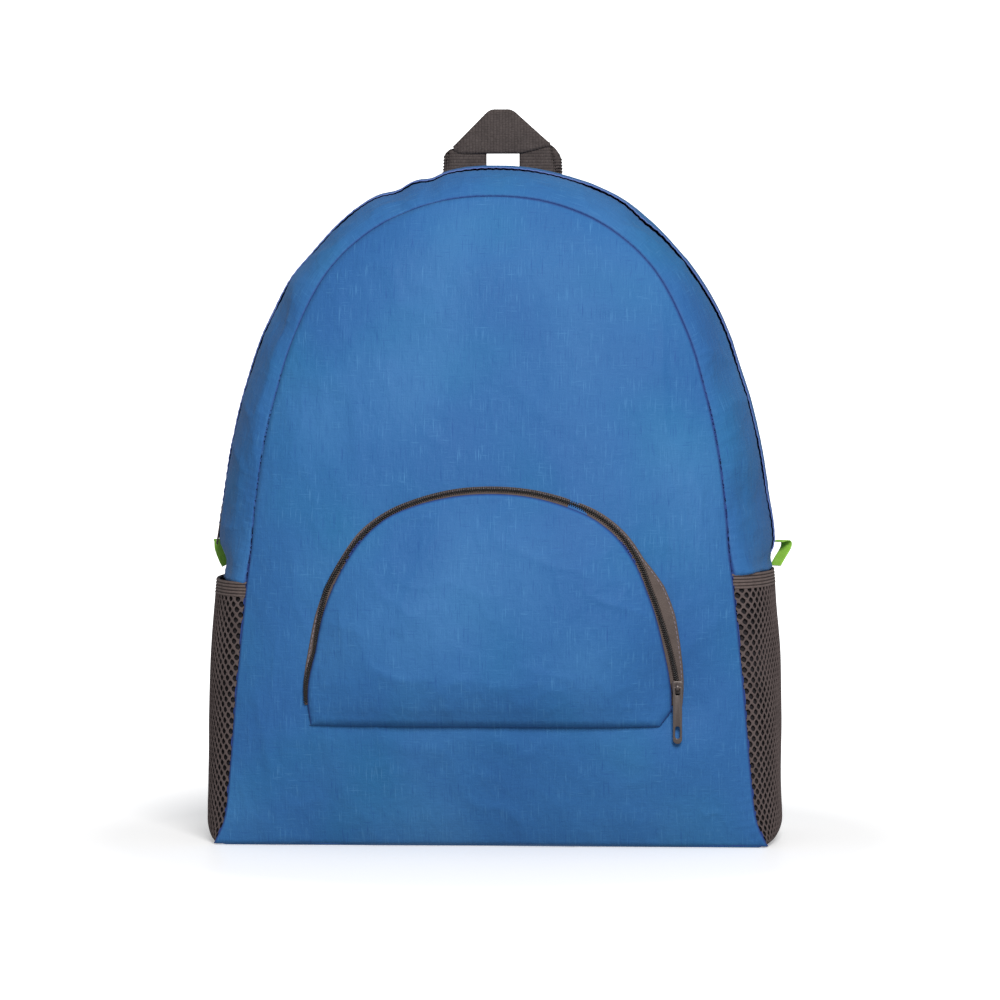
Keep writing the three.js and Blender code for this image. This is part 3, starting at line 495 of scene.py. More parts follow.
@dataclass(frozen=True)
class ClothFinish:
    """Thin coated plain-weave cloth with slubs, soft crumples and a faint sheen, and with painted light
    and shade in soft patches, a painted sheen tint in teal patches, painted shade in its seams and a thin
    painted highlight at its hems.
    """

    name: str = "blue_cloth"
    base: tuple[float, float, float] = (0.033, 0.138, 0.355)
    # light and deep colour the slubs and the grain, and in soft patches they are painted light and painted
    # shade
    light: tuple[float, float, float] = (0.07, 0.225, 0.47)
    deep: tuple[float, float, float] = (0.024, 0.095, 0.3)
    # A teal tint of the sheen, painted into the colour in random patches
    sheen_teal: tuple[float, float, float] = (0.02, 0.165, 0.33)
    # seam: painted shade in the seam grooves
    seam: tuple[float, float, float] = (0.03, 0.04, 0.2)
    # hem: a thin painted highlight along hems and the pocket's foot
    hem: tuple[float, float, float] = (0.2, 0.22, 0.55)
    slub_width: float = 0.8 * MM
    slub_length: float = 13 * MM
    slub_depth: float = 0.07 * MM
    patch_size: float = 24 * MM
    grain_size: float = 0.55 * MM
    thread_pitch: float = 0.5 * MM
    thread_depth: float = 0.012 * MM
    tone_size: float = 75 * MM
    crumple_size: float = 7 * MM
    crumple_depth: float = 0.8 * MM
    seam_shade_width: float = 1.3 * MM

    def make(self) -> bpy.types.Material:
        """Builds the material."""
        n = Nodes(self.name)
        u, v, edge = n.weave()
        upright = n.noise(n.spot(u, v, self.slub_width, self.slub_length), 1.0)
        level = n.noise(n.spot(u, v, self.slub_length * 0.7, self.slub_width), 1.0)
        where = n.noise(n.spot(u, v, self.patch_size, self.patch_size), 2.0)
        bright = n.math("MAXIMUM", n.ramp(upright, 0.6, 0.8, 0, 1), n.ramp(level, 0.62, 0.82, 0, 0.8))
        bright = n.math("MULTIPLY", bright, n.ramp(where, 0.42, 0.62, 0.3, 0.95))
        dark = n.math("MAXIMUM", n.ramp(upright, 0.4, 0.2, 0, 1), n.ramp(level, 0.38, 0.18, 0, 0.8))
        dark = n.math("MULTIPLY", dark, n.ramp(where, 0.6, 0.4, 0.3, 0.9))
        grain = n.noise(n.spot(u, v, self.grain_size, self.grain_size), 2.0)
        tone = n.noise(n.spot(u, v, self.tone_size, self.tone_size), 1.0)
        # Random teal patches: the sheen's tint painted into the colour
        colour = n.blend(n.ramp(tone, 0.5, 0.72, 0, 0.4), self.base, self.sheen_teal)
        # Soft patches of painted light and painted shade: spots of light and darker zones painted into the
        # colour
        glow = n.noise(n.spot(v, u, self.tone_size * 1.3, self.tone_size), 1.0)
        colour = n.blend(n.ramp(glow, 0.5, 0.7, 0, 0.3), colour, self.light)
        colour = n.blend(n.ramp(glow, 0.5, 0.3, 0, 0.35), colour, self.deep)
        colour = n.blend(n.ramp(grain, 0.5, 0.75, 0, 0.22), colour, self.light)
        colour = n.blend(n.ramp(grain, 0.5, 0.25, 0, 0.22), colour, self.deep)
        colour = n.blend(bright, colour, self.light)
        colour = n.blend(dark, colour, self.deep)
        # Painted shade in the seam grooves, darkest right at the seam
        colour = n.blend(n.ramp(edge, 0, self.seam_shade_width, 0.85, 0), colour, self.seam)
        # A thin painted highlight where the weave's third value carries the highlight mark
        colour = n.blend(n.ramp(edge, HIGHLIGHT_MARK * 0.7, HIGHLIGHT_MARK * 0.95, 0, 0.5), colour, self.hem)
        crumple = n.noise(n.spot(u, v, self.crumple_size, self.crumple_size * 1.6), 4.0, 0.6)
        threads = n.math("MULTIPLY", n.wave(u, self.thread_pitch), n.wave(v, self.thread_pitch))
        normal = n.relief(crumple, self.crumple_depth)
        normal = n.relief(n.math("ADD", upright, level), self.slub_depth, normal)
        normal = n.relief(threads, self.thread_depth, normal)
        n.sheen(0.02, 0.4, (0.5, 0.72, 1.0))
        n.gloss(0.1)
        rough = n.ramp(tone, 0.3, 0.7, 0.5, 0.62)
        return n.finish(colour, rough, normal)


@dataclass(frozen=True)
class WovenFinish:
    """A woven band with yarns along it, with painted shade in its rib grooves and a painted highlight on
    its ribs. The weave's third value is 0 in a rib's groove and 1 on it.
    """

    name: str
    base: tuple[float, float, float]
    light: tuple[float, float, float]
    deep: tuple[float, float, float]
    yarn_pitch: float = 1.0 * MM
    yarn_depth: float = 0.03 * MM
    cross_pitch: float = 0.9 * MM
    cross_depth: float = 0.02 * MM
    fuzz_size: float = 0.5 * MM
    fuzz_depth: float = 0.04 * MM
    tone_width: float = 9 * MM
    tone_length: float = 5 * MM
    sheen_weight: float = 0.12
    roughness: float = 0.78

    def make(self) -> bpy.types.Material:
        """Builds the material."""
        n = Nodes(self.name)
        u, v, crest = n.weave()
        yarn = n.wave(u, self.yarn_pitch)
        cross = n.wave(v, self.cross_pitch)
        fuzz = n.noise(n.spot(u, v, self.fuzz_size, self.fuzz_size), 3.0, 0.65)
        tone = n.noise(n.spot(u, v, self.tone_width, self.tone_length), 2.0)
        # Painted shade in the rib grooves
        colour = n.blend(n.ramp(crest, 0.3, 0.8, 1, 0), self.base, self.deep)
        colour = n.blend(n.ramp(yarn, 0.2, 1, 0, 0.3), colour, self.deep)
        # Painted highlight: lighter fuzz on the rib tops
        lit = n.math("MULTIPLY", n.ramp(fuzz, 0.4, 0.75, 0, 0.8), n.ramp(crest, 0.5, 1, 0, 1))
        colour = n.blend(lit, colour, self.light)
        colour = n.blend(n.ramp(tone, 0.45, 0.7, 0, 0.25), colour, self.deep)
        normal = n.relief(yarn, self.yarn_depth)
        normal = n.relief(cross, self.cross_depth, normal)
        normal = n.relief(fuzz, self.fuzz_depth, normal)
        n.sheen(self.sheen_weight, 0.5, self.light)
        n.gloss(0.2)
        return n.finish(colour, self.roughness, normal)


@dataclass(frozen=True)
class NetFinish:
    """Knitted air mesh: matt yarn with fine slanting stitches and painted shade round its holes."""

    name: str = "pocket_net"
    base: tuple[float, float, float] = (0.105, 0.079, 0.075)
    light: tuple[float, float, float] = (0.19, 0.15, 0.145)
    deep: tuple[float, float, float] = (0.03, 0.022, 0.022)
    knit_pitch: float = 0.7 * MM
    knit_depth: float = 0.06 * MM
    fuzz_size: float = 0.45 * MM
    fuzz_depth: float = 0.12 * MM
    tone_size: float = 16 * MM
    hole_rim_shade: float = 0.4 * MM

    def make(self) -> bpy.types.Material:
        """Builds the material."""
        n = Nodes(self.name)
        u, v, edge = n.weave()
        knit = n.wave(n.math("ADD", v, n.math("MULTIPLY", u, 0.6)), self.knit_pitch)
        fuzz = n.noise(n.spot(u, v, self.fuzz_size, self.fuzz_size), 3.0, 0.65)
        tone = n.noise(n.spot(u, v, self.tone_size, self.tone_size), 2.0)
        colour = n.blend(n.ramp(fuzz, 0.35, 0.7, 0, 0.7), self.base, self.light)
        colour = n.blend(n.ramp(tone, 0.45, 0.75, 0, 0.35), colour, self.deep)
        # Painted shade darkening the rims of the holes
        colour = n.blend(n.ramp(edge, 0, self.hole_rim_shade, 0.7, 0), colour, self.deep)
        normal = n.relief(knit, self.knit_depth)
        normal = n.relief(fuzz, self.fuzz_depth, normal)
        n.sheen(0.2, 0.5, self.light)
        n.gloss(0.2)
        return n.finish(colour, 0.85, normal)


@dataclass(frozen=True)
class HardFinish:
    """Enamelled metal or moulded plastic with fine specks and slightly worn edges."""

    name: str
    base: tuple[float, float, float]
    worn: tuple[float, float, float]
    roughness: float
    metal: float
    coat: float
    speck_size: float = 0.6 * MM
    speck_depth: float = 0.03 * MM

    def make(self) -> bpy.types.Material:
        """Builds the material."""
        n = Nodes(self.name)
        place = n.add("ShaderNodeTexCoord").outputs["Object"]
        scaled = n.add("ShaderNodeVectorMath", operation="SCALE")
        n.join(place, scaled.inputs[0])
        scaled.inputs["Scale"].default_value = 1 / self.speck_size
        specks = n.noise(scaled.outputs[0], 3.0, 0.6)
        raised = n.add("ShaderNodeNewGeometry").outputs["Pointiness"]
        colour = n.blend(n.ramp(raised, 0.52, 0.6, 0, 0.6), self.base, self.worn)
        colour = n.blend(n.ramp(specks, 0.55, 0.8, 0, 0.3), colour, self.worn)
        normal = n.relief(specks, self.speck_depth)
        n.shader.inputs["Metallic"].default_value = self.metal
        n.shader.inputs["Coat Weight"].default_value = self.coat
        n.shader.inputs["Coat Roughness"].default_value = 0.25
        rough = n.ramp(specks, 0.3, 0.7, self.roughness - 0.06, self.roughness + 0.06)
        return n.finish(colour, rough, normal)


@dataclass(frozen=True)
class ThreadFinish:
    """Sewing thread with a fine twist."""

    name: str
    base: tuple[float, float, float]
    light: tuple[float, float, float]
    twist_pitch: float = 0.35 * MM
    twist_depth: float = 0.04 * MM

    def make(self) -> bpy.types.Material:
        """Builds the material."""
        n = Nodes(self.name)
        u, v, _ = n.weave()
        twist = n.wave(n.math("ADD", u, v), self.twist_pitch)
        colour = n.blend(n.ramp(twist, -1, 1, 0, 1), self.base, self.light)
        n.sheen(0.3, 0.4, self.light)
        return n.finish(colour, 0.55, n.relief(twist, self.twist_depth))


@dataclass(frozen=True)
class FloorFinish:
    """Matt white studio paper, lit a little from within so that shadows on it stay pale."""

    name: str = "studio_paper"
    near_glow: float = 0.32
    far_glow: float = 1.0
    near: float = 0.22
    far: float = 0.5
    grain_depth: float = 0.001 * MM

    def make(self) -> bpy.types.Material:
        """Builds the material."""
        n = Nodes(self.name)
        place = n.add("ShaderNodeTexCoord").outputs["Object"]
        grain = n.noise(place, 2.0)
        colour = n.blend(grain, (0.9, 0.9, 0.9), (0.93, 0.93, 0.93))
        n.shader.inputs["Emission Color"].default_value = (1.0, 1.0, 1.0, 1.0)
        distance = n.add("ShaderNodeVectorMath", operation="LENGTH")
        n.join(place, distance.inputs[0])
        glow = n.ramp(distance.outputs["Value"], self.near, self.far, self.near_glow, self.far_glow)
        n.join(glow, n.shader.inputs["Emission Strength"])
        n.gloss(0.3)
        return n.finish(colour, 0.4, n.relief(grain, self.grain_depth))


class Wardrobe:
    """All the finishes, each built once."""

    def __init__(self) -> None:
        """Builds every finish."""
        self.cloth = ClothFinish().make()
        self.net = NetFinish().make()
        self.webbing = WovenFinish(
            "dark_webbing", (0.062, 0.049, 0.046), (0.14, 0.115, 0.108), (0.008, 0.006, 0.006)
        ).make()
        self.binding = WovenFinish(
            "elastic_binding",
            (0.13, 0.098, 0.09),
            (0.24, 0.19, 0.18),
            (0.035, 0.026, 0.025),
            yarn_pitch=1.9 * MM,
            cross_depth=0.05 * MM,
        ).make()
        self.tape = WovenFinish(
            "zipper_tape",
            (0.105, 0.08, 0.07),
            (0.18, 0.145, 0.135),
            (0.05, 0.038, 0.034),
            yarn_pitch=0.8 * MM,
        ).make()
        # Near black tape, darker than the zipper tape's own colour: painted shade for the main zipper sunk
        # in its gap and for the sheet behind the nets
        self.painted_shade_tape = WovenFinish(
            "main_zipper_shade_tape", (0.016, 0.014, 0.016), (0.05, 0.044, 0.05), (0.006, 0.005, 0.006)
        ).make()
        self.ribbon = WovenFinish(
            "green_ribbon",
            (0.27, 0.56, 0.05),
            (0.45, 0.76, 0.16),
            (0.12, 0.32, 0.02),
            yarn_pitch=1.1 * MM,
            yarn_depth=0.02 * MM,
            sheen_weight=0.25,
            roughness=0.55,
        ).make()
        self.coil = HardFinish(
            "zipper_coil", (0.008, 0.007, 0.007), (0.05, 0.042, 0.04), 0.42, 0.0, 0.05
        ).make()
        self.enamel = HardFinish(
            "slider_enamel", (0.085, 0.066, 0.06), (0.24, 0.2, 0.185), 0.4, 0.3, 0.2
        ).make()
        self.plastic = HardFinish(
            "dark_plastic", (0.045, 0.039, 0.037), (0.1, 0.09, 0.085), 0.45, 0.0, 0.1
        ).make()
        self.blue_thread = ThreadFinish("blue_thread", (0.03, 0.11, 0.3), (0.07, 0.2, 0.44)).make()
        self.taupe_thread = ThreadFinish("taupe_thread", (0.2, 0.16, 0.19), (0.36, 0.31, 0.37)).make()


class Maker:
    """Gathers points, faces and cloth places, and turns them into one piece."""

    def __init__(self) -> None:
        """Starts empty."""
        self.points: list[Array] = []
        self.weaves: list[Array] = []
        self.faces: list[Array] = []
        self.count = 0

    def add(self, points: Array, faces: Sequence[Array], weave: Array | None = None) -> None:
        """Adds points and the faces between them.

        Args:
            points: The new points.
            faces: Arrays of point numbers, three or four to a face, counted from the first new point.
            weave: The place of each point on the flat cloth, with the third value that its finish reads.
        """
        self.points.append(points.reshape(-1, 3))
        if weave is None:
            weave = np.zeros((len(self.points[-1]), 3))
        self.weaves.append(weave.reshape(-1, 3))
        self.faces += [np.asarray(group) + self.count for group in faces if len(group)]
        self.count += len(self.points[-1])

    def build(self, name: str, material: bpy.types.Material, merge: float = 0.0) -> bpy.types.Object:
        """Makes the piece's object.

        Args:
            name: The piece's name.
            material: Its finish.
            merge: The distance under which points become one, or 0 to leave them.

        Returns:
            The new object, in the scene.
        """
        points = np.concatenate(self.points)
        corners = np.concatenate([group.ravel() for group in self.faces])
        sizes = np.concatenate([np.full(len(group), group.shape[1]) for group in self.faces])
        mesh = bpy.data.meshes.new(name)
        mesh.vertices.add(len(points))
        mesh.vertices.foreach_set("co", points.astype(np.float32).ravel())
        mesh.loops.add(len(corners))
        mesh.loops.foreach_set("vertex_index", corners.astype(np.int32))
        mesh.polygons.add(len(sizes))
        starts = np.concatenate([[0], np.cumsum(sizes)[:-1]])
        mesh.polygons.foreach_set("loop_start", starts.astype(np.int32))
        mesh.polygons.foreach_set("use_smooth", np.ones(len(sizes), bool))
        mesh.update(calc_edges=True)
        weave = mesh.attributes.new("weave", "FLOAT_VECTOR", "POINT")
        weave.data.foreach_set("vector", np.concatenate(self.weaves).astype(np.float32).ravel())
        mesh.validate()
        if merge:
            merge_close(mesh, merge, merge / 10)
        mesh.materials.append(material)
        return add_object(name, mesh)


def add_object(name: str, data: bpy.types.ID) -> bpy.types.Object:
    """Adds an object to the scene and returns it."""
    added = bpy.data.objects.new(name, data)
    bpy.context.scene.collection.objects.link(added)
    return added


def merge_close(mesh: bpy.types.Mesh, distance: float, sliver: float = 0.0) -> None:
    """Joins a mesh's points that lie closer than a distance, and drops edges shorter than a sliver."""
    made = bmesh.new()
    made.from_mesh(mesh)
    bmesh.ops.remove_doubles(made, verts=made.verts, dist=distance)
    if sliver:
        bmesh.ops.dissolve_degenerate(made, edges=made.edges, dist=sliver)
    made.to_mesh(mesh)
    made.free()


def place_piece(
    piece: bpy.types.Object, slot: Slot, *nodes: str, body: Body = Body.BAG
) -> bpy.types.Object:
    """Lets a piece ride on its body, hides the model's nodes that it replaces and logs its face count.

    Args:
        piece: The new piece.
        slot: The record's slot for its finish; not used.
        nodes: The model's nodes that it replaces.
        body: The body that it rides on.

    Returns:
        The same piece.
    """
    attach(piece, body.value)
    if nodes:
        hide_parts(*nodes)
    log.info("%s: %d faces", piece.name, len(piece.data.polygons))
    return piece


def grid_faces(rows: int, columns: int, wrap: bool = False) -> Array:
    """Faces of a grid of points, row by row, where wrap joins the last column to the first."""
    i = np.arange(rows - 1)[:, None] * columns
    j = np.arange(columns if wrap else columns - 1)[None, :]
    k = (j + 1) % columns
    return np.stack([i + j, i + k, i + columns + k, i + columns + j], -1).reshape(-1, 4)


def grid_normals(points: Array) -> Array:
    """Directions square to a grid of points, pointing away from the bag's middle."""
    down = np.gradient(points, axis=0)
    across = np.gradient(points, axis=1)
    normal = unit(np.cross(across, down))
    facing = np.sum(normal * (points - BAG_MIDDLE), axis=-1)
    return normal * np.sign(np.sum(facing))


def cloth_wall(maker: Maker, outer: Array, weave: Array, thickness: float, wrap: bool = False) -> None:
    """Adds a closed wall of cloth with rounded edges under a grid of points.

    Args:
        maker: Where the wall is added.
        outer: The points of the outer face, in rows and columns.
        weave: The place of each point on the flat cloth.
        thickness: The wall's thickness.
        wrap: Whether the last column meets the first.
    """
    rows, columns = outer.shape[:2]
    normal = grid_normals(outer)
    inner = outer - normal * thickness
    faces = grid_faces(rows, columns, wrap)
    i, j = rows // 2, columns // 2
    turned = np.cross(outer[i, j + 1] - outer[i, j], outer[i + 1, j] - outer[i, j])
    facing_out = np.sum(turned * normal[i, j]) > 0
    if not facing_out:
        faces = faces[:, ::-1]
    near = np.arange(columns - 1)
    far = np.arange(rows - 1) * columns + columns - 1
    if wrap:
        rings = [np.arange(columns), (rows - 1) * columns + np.arange(columns)[::-1]]
    else:
        last = rows * columns - 1
        rings = [np.concatenate([near, far, last - near, last - far])]
    flat_outer = outer.reshape(-1, 3)
    flat_inner = inner.reshape(-1, 3)
    flat_weave = weave.reshape(-1, 3)
    flat_normal = normal.reshape(-1, 3)
    total = rows * columns
    points = [flat_outer, flat_inner]
    places = [flat_weave, flat_weave]
    groups = [faces, faces[:, ::-1] + total]
    count = 2 * total
    for ring in rings:
        around = np.roll(flat_outer[ring], -1, 0) - np.roll(flat_outer[ring], 1, 0)
        out = unit(np.cross(around, flat_normal[ring])) * (1 if facing_out else -1)
        edge = (flat_outer[ring] + flat_inner[ring]) / 2 + out * thickness * EDGE_BULGE
        k = np.arange(len(ring))
        n = (k + 1) % len(ring)
        first = np.stack([ring[n], ring[k], count + k, count + n], -1)
        second = np.stack([count + n, count + k, total + ring[k], total + ring[n]], -1)
        sides = np.concatenate([first, second])
        groups.append(sides if facing_out else sides[:, ::-1])
        points.append(edge)
        places.append(flat_weave[ring])
        count += len(ring)
    maker.add(np.concatenate(points), groups, np.concatenate(places))


def swept(
    maker: Maker,
    path: Array,
    across: Array,
    profile: Array | Callable[[int], Array],
    crest: Array | float = 1.0,
) -> None:
    """Adds a section carried along a path.

    Args:
        maker: Where the body is added.
        path: The path's points.
        across: The direction of the section's width, one for all points or one for each.
        profile: The section's points as width and height, or a function that gives it at a point.
        crest: The rib's height at each point, from 0 to 1, for the finish.
    """
    count = len(path)
    sections = [profile(i) if callable(profile) else profile for i in range(count)]
    along = unit(np.gradient(path, axis=0))
    wide = np.broadcast_to(across, path.shape)
    out = unit(np.cross(along, wide))
    wide = unit(np.cross(out, along))
    size = len(sections[0])
    flat = np.stack(sections)
    points = path[:, None] + wide[:, None] * flat[..., :1] + out[:, None] * flat[..., 1:]
    lengths = path_lengths(path)
    raised = np.broadcast_to(np.reshape(crest, (-1, 1)), (count, size))
    weave = point(flat[..., 0], lengths[:, None], raised)
    faces = [grid_faces(count, size, wrap=True)[:, ::-1]]
    j = np.arange(size)
    k = (j + 1) % size
    base = count * size
    last = base - size
    faces.append(np.stack([np.full(size, base), k, j], -1)[:, ::-1])
    faces.append(np.stack([np.full(size, base + 1), last + j, last + k], -1)[:, ::-1])
    ends = point(0.0, lengths[[0, -1]], 1.0)
    points = np.concatenate([points.reshape(-1, 3), path[[0, -1]]])
    maker.add(points, faces, np.concatenate([weave.reshape(-1, 3), ends]))


def band_section(width: float, thickness: float, columns: int) -> Array:
    """The section of a flat band with round edges.

    Args:
        width: The band's width.
        thickness: The band's thickness.
        columns: How many points lie along each face.

    Returns:
        The section's points, in order around it.
    """
    half = width / 2 - thickness / 2
    flat = np.linspace(-half, half, columns)
    turn = np.linspace(-math.pi / 2, math.pi / 2, 5)[1:-1]
    right = np.stack([half + np.cos(turn) * thickness / 2, np.sin(turn) * thickness / 2], -1)
    bottom = np.stack([flat, np.full(columns, -thickness / 2)], -1)
    top = np.stack([flat[::-1], np.full(columns, thickness / 2)], -1)
    return np.concatenate([bottom, right, top, -right])


def round_section(radius: float, count: int = 6) -> Array:
    """A round section with a few corners."""
    turn = np.linspace(0, 2 * math.pi, count, endpoint=False)
    return np.stack([np.cos(turn), np.sin(turn)], -1) * radius


@dataclass(frozen=True)
class Stitching:
    """A row of sewing stitches along a path on a surface."""

    length: float = 2.7 * MM
    gap: float = 1.0 * MM
    radius: float = 0.24 * MM
    sunk: float = 0.55
    rise: float = 1.8

    def sew(self, maker: Maker, path: Array, outward: Array) -> None:
        """Adds one small rounded stitch after another.

        Args:
            maker: Where the stitches are added.
            path: The seam's points on the surface.
            outward: The surface's direction at each point.
        """
        lengths = path_lengths(path)
        pitch = self.length + self.gap
        section = round_section(self.radius)
        share = np.linspace(0, 1, 5)
        arch = np.sin(share * math.pi) ** 0.6
        for start in np.arange(self.gap, lengths[-1] - pitch, pitch):
            spots = start + share * self.length
            line = at_lengths(path, lengths, spots)
            lift = at_lengths(outward, lengths, spots)
            line = line + lift * ((arch - self.sunk) * self.radius * self.rise)[:, None]
            across = unit(np.cross(line[-1] - line[0], lift[2]))
            swept(maker, line, across, section)


def plate_piece(
    name: str,
    outlines: Sequence[Array],
    thickness: float,
    bevel: float,
    material: bpy.types.Material,
    depth: float,
) -> bpy.types.Object:
    """A plate with rounded edges standing in X and Z, with holes.

    Args:
        name: The piece's name.
        outlines: The outer outline and then the holes, as X and Z.
        thickness: The plate's thickness along Y.
        bevel: The radius of its edges.
        material: Its finish.
        depth: Where its middle lies along Y.

    Returns:
        The new object.
    """
    flat_curve = bpy.data.curves.new(name, "CURVE")
    flat_curve.dimensions = "2D"
    flat_curve.fill_mode = "BOTH"
    flat_curve.extrude = thickness / 2 - bevel
    flat_curve.bevel_depth = bevel
    flat_curve.bevel_resolution = 2
    flat_curve.offset = -bevel
    for outline in outlines:
        spline = flat_curve.splines.new("POLY")
        spline.points.add(len(outline) - 1)
        flat = np.zeros((len(outline), 4))
        flat[:, :2] = outline
        flat[:, 3] = 1
        spline.points.foreach_set("co", flat.ravel())
        spline.use_cyclic_u = True
    holder = add_object(name + "_outline", flat_curve)
    bpy.context.view_layer.update()
    seen = holder.evaluated_get(bpy.context.evaluated_depsgraph_get())
    mesh = bpy.data.meshes.new_from_object(seen)
    bpy.data.objects.remove(holder)
    places = np.zeros(len(mesh.vertices) * 3)
    mesh.vertices.foreach_get("co", places)
    x, z, up = places.reshape(-1, 3).T
    mesh.vertices.foreach_set("co", point(x, depth - up, z).astype(np.float32).ravel())
    mesh.materials.clear()
    mesh.materials.append(material)
    mesh.name = name
    merge_close(mesh, SAME_PLACE)
    for face in mesh.polygons:
        face.use_smooth = True
    mesh.set_sharp_from_angle(angle=SHARP_ANGLE)
    return add_object(name, mesh)


def rounded_box(x: float, z: float, half_width: float, half_height: float, radius: float) -> Array:
    """A rectangle with round corners.

    Args:
        x: Its middle along X.
        z: Its middle along Z.
        half_width: Half of its width.
        half_height: Half of its height.
        radius: The radius of its corners.

    Returns:
        Its outline as X and Z.
    """
    corners = []
    for number, (right, up) in enumerate(((1, 1), (-1, 1), (-1, -1), (1, -1))):
        turn = np.linspace(0, math.pi / 2, 5) + number * math.pi / 2
        centre_x = x + right * (half_width - radius)
        centre_z = z + up * (half_height - radius)
        bend = np.stack([np.cos(turn), np.sin(turn)], -1) * radius
        corners.append(bend + [centre_x, centre_z])
    return np.concatenate(corners)


def coons(bottom: Array, top: Array, left: Array, right: Array) -> Array:
    """A grid of places inside four border lines.

    Args:
        bottom: The bottom border's points from left to right.
        top: The top border's points from left to right, as many as the bottom's.
        left: The left border's points from bottom to top.
        right: The right border's points from bottom to top, as many as the left's.

    Returns:
        The places in rows from bottom to top.
    """
    up = np.linspace(0, 1, len(left))[:, None, None]
    across = np.linspace(0, 1, len(bottom))[None, :, None]
    sides = mix(left[:, None], right[:, None], across)
    ends = mix(bottom[None], top[None], up)
    low = mix(bottom[0], bottom[-1], across)
    high = mix(top[0], top[-1], across)
    return sides + ends - mix(low, high, up)


@dataclass(frozen=True)
class Pucker:
    """Small gathers that a seam pulls into the cloth beside it."""

    depth: float = 0.35 * MM
    pitch: float = 4.6 * MM
    reach: float = 6 * MM
    drift: float = 9 * MM
    patch: float = 26 * MM
    seed: int = 5

    def at(self, along: Array, distance: Array) -> Array:
        """How far the cloth is raised at a length along the seam and a distance from it."""
        shift = patchy(along / self.drift, 0.5, self.seed) * 3.2
        strength = 0.55 + 0.45 * patchy(along / self.patch, 3.5, self.seed + 1)
        gather = np.sin(2 * math.pi * along / self.pitch + shift)
        return self.depth * strength * gather * np.exp(-distance / self.reach)


